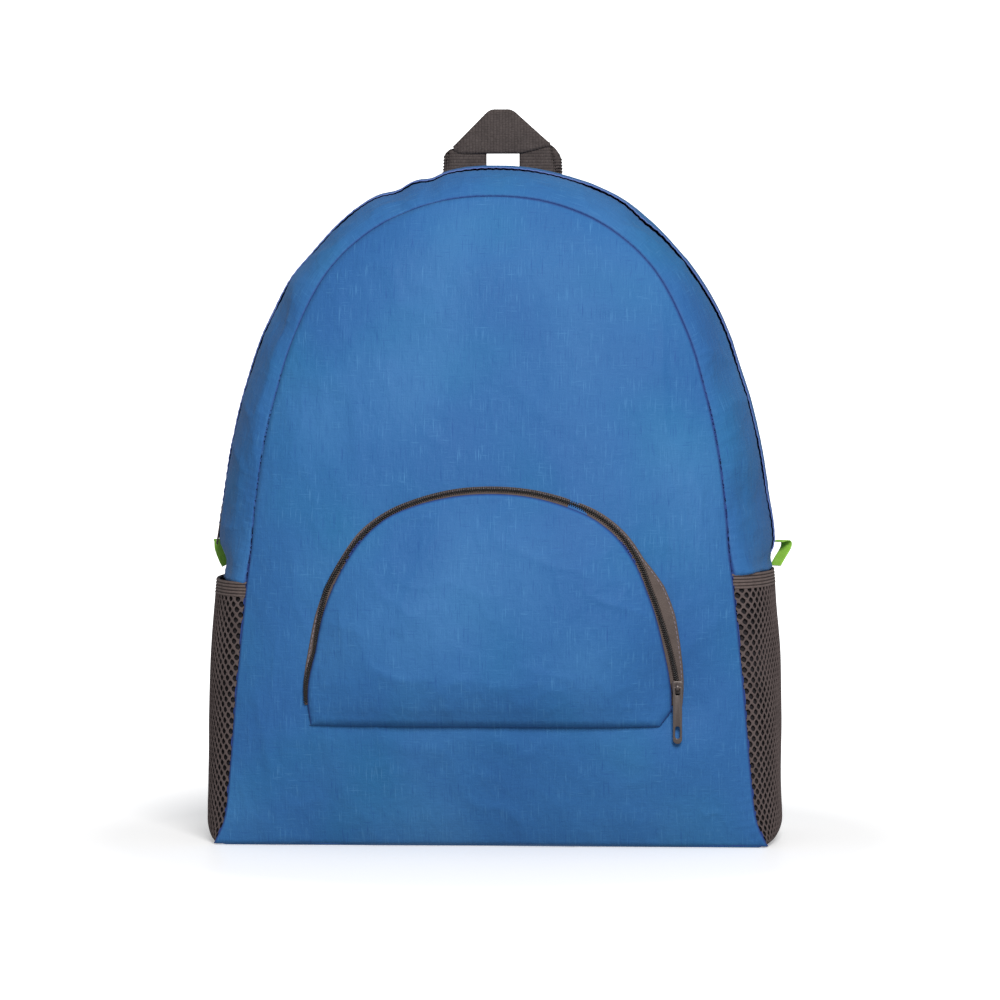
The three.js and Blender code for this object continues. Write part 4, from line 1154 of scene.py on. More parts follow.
@dataclass(frozen=True)
class BagForm:
    """The bag's driving sizes and the surfaces that follow from them."""

    half_width: float = 168 * MM
    height: float = 394 * MM
    front_reach: float = 70 * MM
    widest_back: float = 18 * MM
    back_reach: float = 60 * MM
    back_inset: float = 8 * MM
    front_crown: float = 13 * MM
    back_crown: float = 5 * MM
    gusset_puff: float = 0.75
    level_share: float = 0.1
    gusset_fold_depth: float = 2.4 * MM
    panel_fold_depth: float = 1.8 * MM
    cloth_wall: float = 1.4 * MM
    base_wall: float = 1.6 * MM
    seam_gap: float = 0.6 * MM
    clearance: float = 0.3 * MM
    zipper_end_height: float = 166 * MM
    zipper_place_top: float = 0.36
    zipper_place_end: float = 0.44
    binding_wall: float = 1.8 * MM
    binding_height: float = 9 * MM
    pouch_half_width: float = 168.5 * MM
    mouth_half_width: float = 163.5 * MM
    pouch_widest_back: float = 10 * MM
    pocket_half_width: float = 105.7 * MM
    pocket_height: float = 134.6 * MM
    pocket_bottom: float = 71 * MM
    pocket_centre: float = 2 * MM
    left_mouth: float = 143 * MM
    right_mouth: float = 148.5 * MM
    left_overhang: float = 7 * MM
    right_overhang: float = 9 * MM
    overhang_start: float = 3 * MM
    overhang_fade: float = 13 * MM
    overhang_end: float = 0.95
    net_space: float = 2.5 * MM
    net_edge: float = 6 * MM
    net_seam: float = 0.02
    pouch_roll: float = 11 * MM
    pouch_roll_share: float = 0.55
    pouch_front_inset: float = 1.2 * MM
    pillow: float = 6.5 * MM
    pillow_reach: float = 46 * MM
    slider_x: float = 107.5 * MM
    slider_z: float = 90 * MM
    slider_calm: float = 26 * MM
    foot_calm: float = 60 * MM

    @property
    def foot(self) -> float:
        """The height where the walls start."""
        return self.base_wall + self.clearance

    @property
    def rise(self) -> float:
        """The height of the walls."""
        return self.height - self.foot

    def rim(self, along: Array) -> tuple[Array, Array]:
        """Half width and height of the widest line."""
        half = self.half_width * OUTLINE.at("rim_half", along, -1)
        return half, self.foot + self.rise * OUTLINE.at("rim_rise", along, 1)

    def seam(self, along: Array) -> tuple[Array, Array, Array]:
        """Half width, height and reach of the front seam."""
        half = self.half_width * OUTLINE.at("seam_half", along, -1)
        height = self.foot + self.rise * OUTLINE.at("seam_rise", along, 1)
        return half, height, self.front_reach * OUTLINE.at("forward", along, 1)

    def back(self, along: Array) -> tuple[Array, Array]:
        """Half width and height of the back seam."""
        half, height = self.rim(along)
        shrunk = self.foot + (height - self.foot) * (1 - self.back_inset / self.rise)
        return half * (1 - self.back_inset / self.half_width), shrunk

    @staticmethod
    def arch(line: Callable[[Array], tuple[Array, ...]], low: float, high: float, count: int) -> Array:
        """Places along an arched line of the bag.

        Args:
            line: The line's half width and height at shares along it.
            low: The first turn, from -1 at the left base corner to 1 at the right one.
            high: The last turn.
            count: How many places.

        Returns:
            The places as X and Z.
        """
        turn = np.linspace(low, high, count)
        half, height = line(1 - np.abs(turn))[:2]
        return np.stack([np.sign(turn) * half, height], -1)

    def along_at(self, line: Callable[[Array], tuple[Array, ...]], height: Array) -> Array:
        """The share along a line where it reaches a height."""
        shares = np.linspace(0, 1, 4001)
        return np.interp(height, line(shares)[1], shares)

    @property
    def zipper_end(self) -> float:
        """The share along the rim where the main zipper ends."""
        return float(self.along_at(self.rim, self.zipper_end_height))

    def zipper_place(self, turn: Array) -> Array:
        """The share across the gusset where the main zipper's middle lies."""
        above = (1 - np.abs(turn) - self.zipper_end) / (1 - self.zipper_end)
        return mix(self.zipper_place_end, self.zipper_place_top, np.maximum(above, 0))

    def gusset_plain(self, turn: Array, across: Array) -> Array:
        """A point of the gusset without folds.

        Args:
            turn: From -1 at the left base corner over 0 at the top to 1 at the right base corner.
            across: From 0 at the front seam to 1 at the back seam.

        Returns:
            The points.
        """
        side = np.where(turn < 0, -1, 1)
        along = 1 - np.abs(turn)
        rim_half, rim_height = self.rim(along)
        seam_half, seam_height, forward = self.seam(along)
        back_half, back_height = self.back(along)
        hidden = self.cloth_wall + self.seam_gap
        share = np.clip(across / 0.5, 0, 1)
        bend = share * math.pi / 2
        out = mix(share, np.sin(bend), self.gusset_puff)
        deep = mix(share, 1 - np.cos(bend), self.gusset_puff)
        past = np.clip(across / 0.5 - 1, 0, 1) * math.pi / 2
        inwards = 1 - np.cos(past)
        front = across <= 0.5
        x = np.where(front, mix(seam_half, rim_half, out), mix(rim_half, back_half, inwards))
        front_y = mix(-forward + hidden, self.widest_back, deep)
        back_y = mix(self.widest_back, self.back_reach - hidden, np.sin(past))
        z = np.where(front, mix(seam_height, rim_height, out), mix(rim_height, back_height, inwards))
        return point(side * x, np.where(front, front_y, back_y), z)

    def overhang(self, turn: Array, across: Array) -> Array:
        """How far the cloth bulges out over a side pocket's mouth, or draws in behind its net."""
        height = self.gusset_plain(turn, across)[..., 2]
        mouth = np.where(turn > 0, self.right_mouth, self.left_mouth)
        most = np.where(turn > 0, self.right_overhang, self.left_overhang)
        above = height - mouth - self.binding_height - self.clearance
        rising = eased(np.clip(above / self.overhang_start + 1, 0, 1))
        falling = np.exp(-np.maximum(above, 0) / self.overhang_fade)
        bulge = np.sin(math.pi * np.clip(across / self.overhang_end, 0, 1)) ** 0.5
        behind = np.clip((mouth - height) / self.net_edge, 0, 1) * np.clip(across / self.net_seam, 0, 1)
        return most * rising * falling * bulge - self.net_space * behind

    def gusset(self, turn: Array, across: Array, below: Array | float = 0.0) -> Array:
        """A point of the gusset with its folds, at a depth below its outer face."""
        step = 0.004
        plain = self.gusset_plain
        along_turn = plain(np.minimum(turn + step, 1), across) - plain(np.maximum(turn - step, -1), across)
        along_width = plain(turn, np.minimum(across + step, 1)) - plain(turn, np.maximum(across - step, 0))
        outward = unit(np.cross(along_turn, along_width))
        over = np.clip((1 - np.abs(turn) - self.zipper_end) / self.level_share, 0, 1)
        outward[..., 2] *= over
        outward = unit(outward)
        dent = np.zeros(np.broadcast(turn, across).shape)
        for fold_side, fold_along, fold_across, depth, length, breadth in FOLD_ROWS:
            away = (1 - np.abs(turn) - fold_along) / length
            aside = (across - fold_across) / breadth
            here = np.sign(turn) == fold_side
            dent += here * self.gusset_fold_depth * depth * np.exp(-away * away - aside * aside)
        return plain(turn, across) + outward * (self.overhang(turn, across) - dent - below)[..., None]

    def beside_zipper(self, turn: Array, distance: Array | float) -> Array:
        """The share across the gusset at a distance from the zipper's middle."""
        place = self.zipper_place(turn)
        step = 0.01
        gap = self.gusset_plain(turn, place + step) - self.gusset_plain(turn, place - step)
        return place + distance * 2 * step / np.linalg.norm(gap, axis=-1)

    def front_depth(self, x: Array, z: Array) -> Array:
        """The front panel's depth at a place on it."""
        seam_top = self.seam(np.array(1.0))[1]
        half, _, forward = self.seam(self.along_at(self.seam, z))
        share = np.minimum(np.abs(x) / np.maximum(half, MM), 1)
        height = np.clip((z - self.foot) / (seam_top - self.foot), 0, 1)
        crown = self.front_crown * (1 - share**2.6) * np.sin(math.pi * height**0.75)
        dent = np.zeros(np.broadcast(x, z).shape)
        for fold_across, fold_rise, depth, spread, reach, slant in PANEL_FOLD_ROWS:
            lean = math.radians(slant)
            right = x / self.half_width - fold_across
            up = (z - fold_rise * seam_top) / self.half_width
            aside = (right * math.cos(lean) - up * math.sin(lean)) / spread
            away = (right * math.sin(lean) + up * math.cos(lean)) / reach
            dent += self.panel_fold_depth * depth * np.exp(-aside * aside - away * away)
        inwards = np.minimum((1 - share) * half, (seam_top - z) * 0.9)
        filled = 1 - (1 - np.clip(inwards / self.pillow_reach, 0, 1)) ** 2
        drawn = ((x - self.slider_x) ** 2 + (z - self.slider_z) ** 2) / self.slider_calm**2
        filled = filled * (1 - np.exp(-drawn)) * np.clip((z - self.foot) / self.foot_calm, 0, 1)
        flat = -forward - crown - self.pillow * filled
        return flat + dent * (1 - share**4) * np.sin(math.pi * height)

    def back_depth(self, x: Array, z: Array) -> Array:
        """The back panel's depth at a place on it."""
        half, _ = self.back(self.along_at(self.back, z))
        back_top = self.back(np.array(1.0))[1]
        share = np.minimum(np.abs(x) / np.maximum(half, MM), 1)
        height = np.clip((z - self.foot) / (back_top - self.foot), 0, 1)
        return self.back_reach + self.back_crown * (1 - share * share) * np.sin(math.pi * height)

    def pouch(self, side: Side, mouth: float, height: Array, across: Array, below: Array | float) -> Array:
        """A point of a side pocket's outer face.

        Args:
            side: The pocket's side.
            mouth: The height of the net's upper edge.
            height: The heights of the points.
            across: From 0 at the front seam to 1 at the back seam.
            below: The depth below the outer face.

        Returns:
            The points.
        """
        step = 0.004

        def surface(z: Array, part: Array) -> Array:
            """The pocket's outer face without its depth below."""
            seam_half, _, forward = self.seam(self.along_at(self.seam, z))
            back_half, _ = self.back(self.along_at(self.back, z))
            squeeze = np.clip(z / (mouth + self.binding_height), 0, 1) ** 3
            widest = mix(self.pouch_half_width, self.mouth_half_width, squeeze)
            widest = widest - rolled(z - self.foot, self.pouch_roll) * self.pouch_roll_share
            near = seam_half - self.pouch_front_inset
            far = back_half + self.binding_wall
            front = part < 0.5
            out = np.sin(part * math.pi)
            x = np.where(front, mix(near, widest, out), mix(far, widest, out))
            front_y = mix(
                -forward + self.cloth_wall + self.clearance * 0.5,
                self.pouch_widest_back,
                1 - np.cos(part * math.pi),
            )
            back_y = mix(self.pouch_widest_back, self.back_reach - self.clearance, -np.cos(part * math.pi))
            return point(side.sign * x, np.where(front, front_y, back_y), z)

        tall = step * self.height
        along_height = surface(height + tall, across) - surface(height - tall, across)
        past, before = np.clip(across + step, 0, 1), np.clip(across - step, 0, 1)
        along_width = surface(height, past) - surface(height, before)
        outward = unit(np.cross(along_width, along_height)) * side.sign
        outward[..., 2] = 0
        below = np.broadcast_to(below, outward.shape[:-1])
        return surface(height, across) - unit(outward) * below[..., None]

    def pocket_edge(self, turn: Array, outwards: Array | float) -> Array:
        """A place on the front pocket's outline, moved outwards in its own plane.

        Args:
            turn: From -1 at the left bottom corner over 0 at the top to 1 at the right one.
            outwards: How far it is moved.

        Returns:
            The places as X and Z.
        """

        def line(t: Array) -> Array:
            """The outline itself."""
            along = 1 - np.abs(t)
            x = np.where(t < 0, -1, 1) * self.pocket_half_width * POCKET_OUTLINE.at("half", along, -1)
            z = self.pocket_height * POCKET_OUTLINE.at("rise", along, 1)
            return np.stack([self.pocket_centre + x, self.pocket_bottom + z], -1)

        step = 0.002
        way = unit(line(np.minimum(turn + step, 1)) - line(np.maximum(turn - step, -1)))
        outwards = np.broadcast_to(outwards, np.shape(turn))
        out = np.stack([-way[..., 1], way[..., 0]], -1)
        return line(turn) + out * outwards[..., None]


@dataclass
class ArchedPanel:
    """The grid of places of a panel that an arched line borders."""

    line: Callable[[Array], tuple[Array, ...]]
    rows: int
    columns: int
    shoulder: float
    side_count: int
    top_count: int

    def places(self) -> Array:
        """The places as X and Z, in rows from the base to the top."""
        up = crowded_unit(self.rows)
        across = crowded_unit(self.columns)
        left = resampled(BagForm.arch(self.line, -1, -self.shoulder, self.side_count), up)
        right = resampled(BagForm.arch(self.line, 1, self.shoulder, self.side_count), up)
        top = resampled(BagForm.arch(self.line, -self.shoulder, self.shoulder, self.top_count), across)
        bottom = mix(left[0], right[0], across[:, None])
        return coons(bottom, top, left, right)


FRONT_CRUMPLES = ((patchy, 46, 60, 0.9, 11), (creased, 34, 52, 0.9, 17), (creased, 13, 22, 0.5, 23))


@dataclass
class FrontPanel:
    """The domed front, sewn in along the arch and the base."""

    form: BagForm
    rows: int = 150
    columns: int = 190
    wall: float = 0.7 * MM
    shoulder: float = 0.42
    roll: float = 1.6 * MM
    soft_roll: float = 3.2 * MM
    foot_roll: float = 2.4 * MM
    foot_reach: float = 9 * MM
    foot_gap: float = 0.4 * MM
    soft_from: tuple[float, float] = (20 * MM, 160 * MM)
    soft_over: tuple[float, float] = (60 * MM, 30 * MM)
    soft_seam_shade_offset: float = 0.35 * MM
    calm_edge: float = 14 * MM
    calm_from: float = -60 * MM
    calm_over: float = 80 * MM
    crease_place: tuple[float, float] = (99 * MM, 168 * MM)
    crease_spread: tuple[float, float] = (24 * MM, 48 * MM)
    crease_size: tuple[float, float] = (5 * MM, 42 * MM)
    crease_depth: float = 1.3 * MM
    crease_seed: int = 29
    pucker: Pucker = Pucker()

    def relief(self, x: Array, z: Array, distance: Array, along: Array) -> Array:
        """How far the cloth stands out of the plain form.

        Args:
            x: Places along X.
            z: Places along Z.
            distance: The distance of each place from the arch's seam.
            along: The length along the seam where it is nearest.

        Returns:
            The height at each place.
        """
        inside = np.clip(distance / self.calm_edge, 0, 1)
        aside = (x - self.crease_place[0]) / self.crease_spread[0]
        away = (z - self.crease_place[1]) / self.crease_spread[1]
        upright = -creased(x / self.crease_size[0], z / self.crease_size[1], self.crease_seed)
        upright = upright * self.crease_depth * np.exp(-aside * aside - away * away)
        calm = np.clip((x - self.calm_from) / self.calm_over, 0.25, 1)
        return crumpled(FRONT_CRUMPLES, x, z) * inside + upright + self.pucker.at(along, distance) * calm

    def build(self, wardrobe: Wardrobe) -> None:
        """Builds and dresses the panel."""
        seam, foot = self.form.seam, self.form.foot
        places = ArchedPanel(seam, self.rows, self.columns, self.shoulder, 900, 1200).places()
        x, z = places[..., 0], places[..., 1]
        distance, along = nearest_on(BagForm.arch(seam, -1, 1, 2600), places)
        soft = np.clip((self.soft_from[0] - x) / self.soft_over[0], 0, 1)
        soft = soft * np.clip((z - self.soft_from[1]) / self.soft_over[1], 0, 1)
        depth = self.form.front_depth(x, z) + rolled(distance, mix(self.roll, self.soft_roll, soft))
        depth += rolled(z - foot, self.foot_roll)
        depth -= self.relief(x, z, distance, along)
        near_floor = 1 - np.clip((z - foot) / self.foot_reach, 0, 1)
        outer = point(x, depth, z - (foot - self.foot_gap) * near_floor)
        # Where the seam is soft, its painted shade is made narrower and fainter
        weave = point(x, z, distance * (1 + 2 * soft) + self.soft_seam_shade_offset * soft)
        maker = Maker()
        cloth_wall(maker, outer, weave, self.wall)
        place_piece(maker.build("front_cloth", wardrobe.cloth), Slot.CLOTH, "front_panel")


GUSSET_CRUMPLES = ((patchy, 36, 30, 0.8, 51), (creased, 24, 34, 1.1, 53), (creased, 10, 18, 0.5, 57))


@dataclass
class Gusset:
    """The cloth strips before and behind the main zipper, down to the base."""

    form: BagForm
    rows: int = 620
    front_columns: int = 30
    back_columns: int = 26
    middle: float = 0.3
    wall: float = 0.7 * MM
    tuck: float = 3 * MM
    tuck_steps: int = 2
    tuck_slant: float = 0.7 * MM
    tuck_height: float = 150 * MM
    hem_gap: float = 1.0 * MM
    hem_waviness: float = 0.55
    hem_overlap: float = 0.6 * MM
    hem_widest: float = 2.6 * MM
    widest_turn: float = 0.22
    widest_spread: float = 0.1
    opening: float = 6 * MM
    hem_sunk: float = 0.5 * MM
    hem_raised: float = 0.7 * MM
    hem_reach: float = 5 * MM
    hem_calm: float = 5 * MM
    hem_highlight_reach: float = 3 * MM
    seam_calm: float = 8 * MM
    seam_tint: float = 5 * MM
    seam_roll: float = 1.4 * MM
    rim_spread: float = 0.16
    pucker: Pucker = Pucker()

    def turns(self) -> Array:
        """Turns at even distances along the gusset's middle."""
        dense = np.linspace(-1, 1, 4001)
        lengths = path_lengths(self.form.gusset_plain(dense, np.full(dense.shape, self.middle)))
        return np.interp(np.linspace(0, lengths[-1], self.rows), lengths, dense)

    def gap(self, turn: Array, length: Array, front: bool) -> Array:
        """The wavy distance of a hem from the zipper's middle.

        Args:
            turn: The turns along the gusset.
            length: The length along the gusset at each turn.
            front: Whether it is the hem before the zipper.

        Returns:
            The distances.
        """
        seed = 41 if front else 43
        wave = patchy(length / (17 * MM), 0.5, seed) * 0.7 + patchy(length / (6 * MM), 2.5, seed) * 0.3
        gap = self.hem_gap * (1 + self.hem_waviness * wave)
        if front:
            wide = np.exp(-(((turn - self.widest_turn) / self.widest_spread) ** 2)) * self.hem_widest
            gap = gap + wide * (1 + 0.5 * patchy(length / (9 * MM), 7.5, 45))
        return gap

    def relief(self, across: Array, length: Array, width: Array, to_hem: Array, to_seam: Array) -> Array:
        """How far the cloth stands out of the plain form, without its lift at the hem.

        Args:
            across: The shares across the gusset.
            length: The length along the gusset.
            width: The length across the strip.
            to_hem: The distance to the hem.
            to_seam: The distance to the seam.

        Returns:
            The height at each point.
        """
        inside = np.clip(to_hem / self.hem_calm, 0, 1) * np.clip(to_seam / self.seam_calm, 0, 1)
        rim = np.exp(-(((across - 0.5) / self.rim_spread) ** 2))
        raised = crumpled(GUSSET_CRUMPLES, length, width) * inside * (1 - 0.8 * rim)
        raised += self.pucker.at(length, to_seam) + self.pucker.at(length + 2 * MM, to_hem) * 0.8
        return raised - rolled(to_seam, self.seam_roll) * 0.8

    def strip(self, name: str, front: bool, wardrobe: Wardrobe, *nodes: str) -> None:
        """Builds one of the two strips.

        Args:
            name: The piece's name.
            front: Whether it is the strip before the zipper.
            wardrobe: The finishes.
            nodes: The model's nodes that it stands for.
        """
        form = self.form
        turn = self.turns()[:, None]
        length = path_lengths(form.gusset_plain(turn[:, 0], np.full(len(turn), self.middle)))[:, None]
        open_share = np.clip((1 - np.abs(turn) - form.zipper_end) * form.rise / self.opening, 0, 1)
        gap = mix(-self.hem_overlap, self.gap(turn, length, front), open_share)
        if front:
            across = mix(0, form.beside_zipper(turn, -gap), crowded_unit(self.front_columns)[None])
        else:
            across = mix(form.beside_zipper(turn, gap), 1, crowded_unit(self.back_columns)[None])
        turn = np.broadcast_to(turn, across.shape)
        steps = np.linalg.norm(np.diff(form.gusset_plain(turn, across), axis=1), axis=-1)
        width = np.concatenate([np.zeros((len(steps), 1)), np.cumsum(steps, 1)], 1)
        past = width[:, -1:] - width
        to_hem, to_seam = (past, width) if front else (width, past)
        lift = np.exp(-((to_hem / self.hem_reach) ** 2)) * open_share
        lift = lift * (1 + 0.4 * patchy(length / (14 * MM), 5.5, 47))
        lift = lift * (-self.hem_sunk if front else self.hem_raised)
        outer = form.gusset(turn, across, -lift - self.relief(across, length, width, to_hem, to_seam))
        # A thin painted highlight along the hem, read by the cloth finish
        hem_highlight = HIGHLIGHT_MARK * np.clip(1 - to_hem / self.hem_highlight_reach, 0, 1)
        weave = point(width, length, np.minimum(to_seam, self.seam_tint) + hem_highlight)
        column = 0 if front else -1
        edge, place = outer[:, column], weave[:, column]
        step = unit(point(-edge[:, 0], 0, self.tuck_height - edge[:, 2])) * self.tuck / self.tuck_steps
        step = step + [0, self.tuck_slant if front else -self.tuck_slant, 0]
        for _ in range(self.tuck_steps):
            edge = edge + step
            outer = self.widened(outer, edge, front)
            weave = self.widened(weave, place, front)
        outer[..., 2] = np.maximum(outer[..., 2], form.foot)
        maker = Maker()
        cloth_wall(maker, outer, weave, self.wall)
        place_piece(maker.build(name, wardrobe.cloth), Slot.CLOTH, *nodes)

    @staticmethod
    def widened(grid: Array, column: Array, front: bool) -> Array:
        """The grid with one more column at the seam."""
        return np.concatenate([column[:, None], grid] if front else [grid, column[:, None]], 1)

    def build(self, wardrobe: Wardrobe) -> None:
        """Builds both strips."""
        sides = ("side_panel_left", "side_panel_right")
        self.strip("gusset_cloth_front", True, wardrobe, "front_gusset", *sides)
        self.strip("gusset_cloth_back", False, wardrobe, "back_gusset")


@dataclass(frozen=True)
class Coil:
    """A zipper's closed coil, loop beside loop from either side."""

    pitch: float
    half_width: float
    radius: float
    wire: float = 0.62

    def wind(self, name: str, line: Array, sideways: Array, outward: Array, wardrobe: Wardrobe) -> None:
        """Builds the coil.

        Args:
            name: The piece's name.
            line: The coil's middle line.
            sideways: The direction across it at each point.
            outward: The direction away from the tape at each point.
            wardrobe: The finishes.
        """
        lengths = path_lengths(line)
        section = round_section(self.radius * self.wire)
        share = np.linspace(-0.3, 1, 5)[:, None]
        lift = np.array([0.3, 0.8, 1.0, 0.75, 0.0])[:, None] * self.radius
        maker = Maker()
        for number, spot in enumerate(np.arange(self.pitch, lengths[-1] - self.pitch, self.pitch / 2)):
            way = 1 if number % 2 else -1
            middle, wide, out = (at_lengths(values, lengths, spot) for values in (line, sideways, outward))
            loop = middle + wide * way * share * self.half_width + out * lift
            swept(maker, loop, unit(np.cross(wide, out)), section)
        place_piece(maker.build(name, wardrobe.coil), Slot.ZIPPER)


@dataclass
class MainZipper:
    """The tape under the two hems, near black as painted shade of the gap, with its coil."""

    form: BagForm
    half_width: float = 5 * MM
    sunk: float = 2.5 * MM
    wall: float = 0.6 * MM
    rows: int = 300
    columns: int = 9
    coil: Coil = Coil(pitch=1.5 * MM, half_width=1.9 * MM, radius=0.55 * MM)
    coil_lift: float = 0.6

    def build(self, wardrobe: Wardrobe) -> None:
        """Builds the tape and the coil."""
        form = self.form
        reach = 1 - form.zipper_end
        turn = np.linspace(-reach, reach, self.rows)[:, None]
        side = np.linspace(-self.half_width, self.half_width, self.columns)[None]
        across = form.beside_zipper(turn, side)
        turn = np.broadcast_to(turn, across.shape)
        outer = form.gusset(turn, across, self.sunk)
        middle = self.columns // 2
        line = outer[:, middle]
        weave = point(np.broadcast_to(side, across.shape), path_lengths(line)[:, None], 1.0)
        maker = Maker()
        cloth_wall(maker, outer, weave, self.wall)
        # The band's finish is near black: painted shade in the zipper's gap
        place_piece(maker.build("main_zipper_band", wardrobe.painted_shade_tape), Slot.ZIPPER, "main_zipper")
        sideways = unit(outer[:, middle + 1] - outer[:, middle - 1])
        outward = unit(np.cross(unit(np.gradient(line, axis=0)), sideways))
        line = line + outward * self.coil.radius * self.coil_lift
        self.coil.wind("main_zipper_coil", line, sideways, outward, wardrobe)


BACK_CRUMPLES = ((patchy, 50, 60, 1.0, 61), (creased, 36, 48, 1.1, 63))


@dataclass
class BackAndBase:
    """The panel against the wearer's back and the bottom panel."""

    form: BagForm
    rows: int = 90
    columns: int = 100
    shoulder: float = 0.42
    wall: float = 0.7 * MM
    calm_edge: float = 12 * MM
    edge_roll: float = 2 * MM
    foot_roll: float = 3 * MM
    base_inset: float = 2.2 * MM
    base_reach: float = 150 * MM
    base_roll: float = 1.2 * MM
    base_spacing: float = 3 * MM
    base_rings: tuple[float, ...] = (0.02, 0.3, 0.6, 0.8, 0.93, 0.98, 1.0)
    side_points: int = 60
    pucker: Pucker = Pucker()

    def build(self, wardrobe: Wardrobe) -> None:
        """Builds both panels."""
        self.build_back(wardrobe)
        self.build_base(wardrobe)

    def build_back(self, wardrobe: Wardrobe) -> None:
        """Builds the back panel."""
        form = self.form
        places = ArchedPanel(form.back, self.rows, self.columns, self.shoulder, 600, 900).places()
        x, z = places[..., 0], places[..., 1]
        distance, along = nearest_on(BagForm.arch(form.back, -1, 1, 2000), places)
        relief = crumpled(BACK_CRUMPLES, x, z) * np.clip(distance / self.calm_edge, 0, 1)
        depth = form.back_depth(x, z) + relief + self.pucker.at(along, distance)
        depth -= rolled(distance, self.edge_roll) + rolled(z - form.foot, self.foot_roll)
        maker = Maker()
        cloth_wall(maker, point(x, depth, z), point(x, z, distance), self.wall)
        place_piece(maker.build("back_cloth", wardrobe.cloth), Slot.CLOTH, "back_panel")

    def build_base(self, wardrobe: Wardrobe) -> None:
        """Builds the base panel."""
        form = self.form
        part = np.linspace(0, 1, self.side_points)
        heights = np.full(self.side_points, form.foot)
        edge = form.pouch(Side.RIGHT, form.right_mouth, heights, part, 0.0)[:, :2]
        seam_half, _, forward = form.seam(np.array(0.0))
        back_half, _ = form.back(np.array(0.0))
        corner = np.array([[seam_half, -forward]])
        heel = np.array([[back_half, form.back_reach]])
        right = np.concatenate([corner, edge, heel])
        around = np.concatenate([right, (right * [-1, 1])[::-1], corner])
        around = even_path(around, self.base_spacing)[:-1]
        around = around * (1 - self.base_inset / np.linalg.norm(around, axis=1, keepdims=True))
        share = np.array(self.base_rings)[:, None]
        flat = share[..., None] * around[None]
        to_edge = (1 - share) * self.base_reach
        lift = rolled(to_edge, self.base_roll) * 0.9
        maker = Maker()
        outer = point(flat[..., 0], flat[..., 1], lift)
        cloth_wall(maker, outer, point(flat[..., 0], flat[..., 1], to_edge), form.base_wall, wrap=True)
        place_piece(maker.build("base_cloth", wardrobe.cloth), Slot.CLOTH, "base_panel")


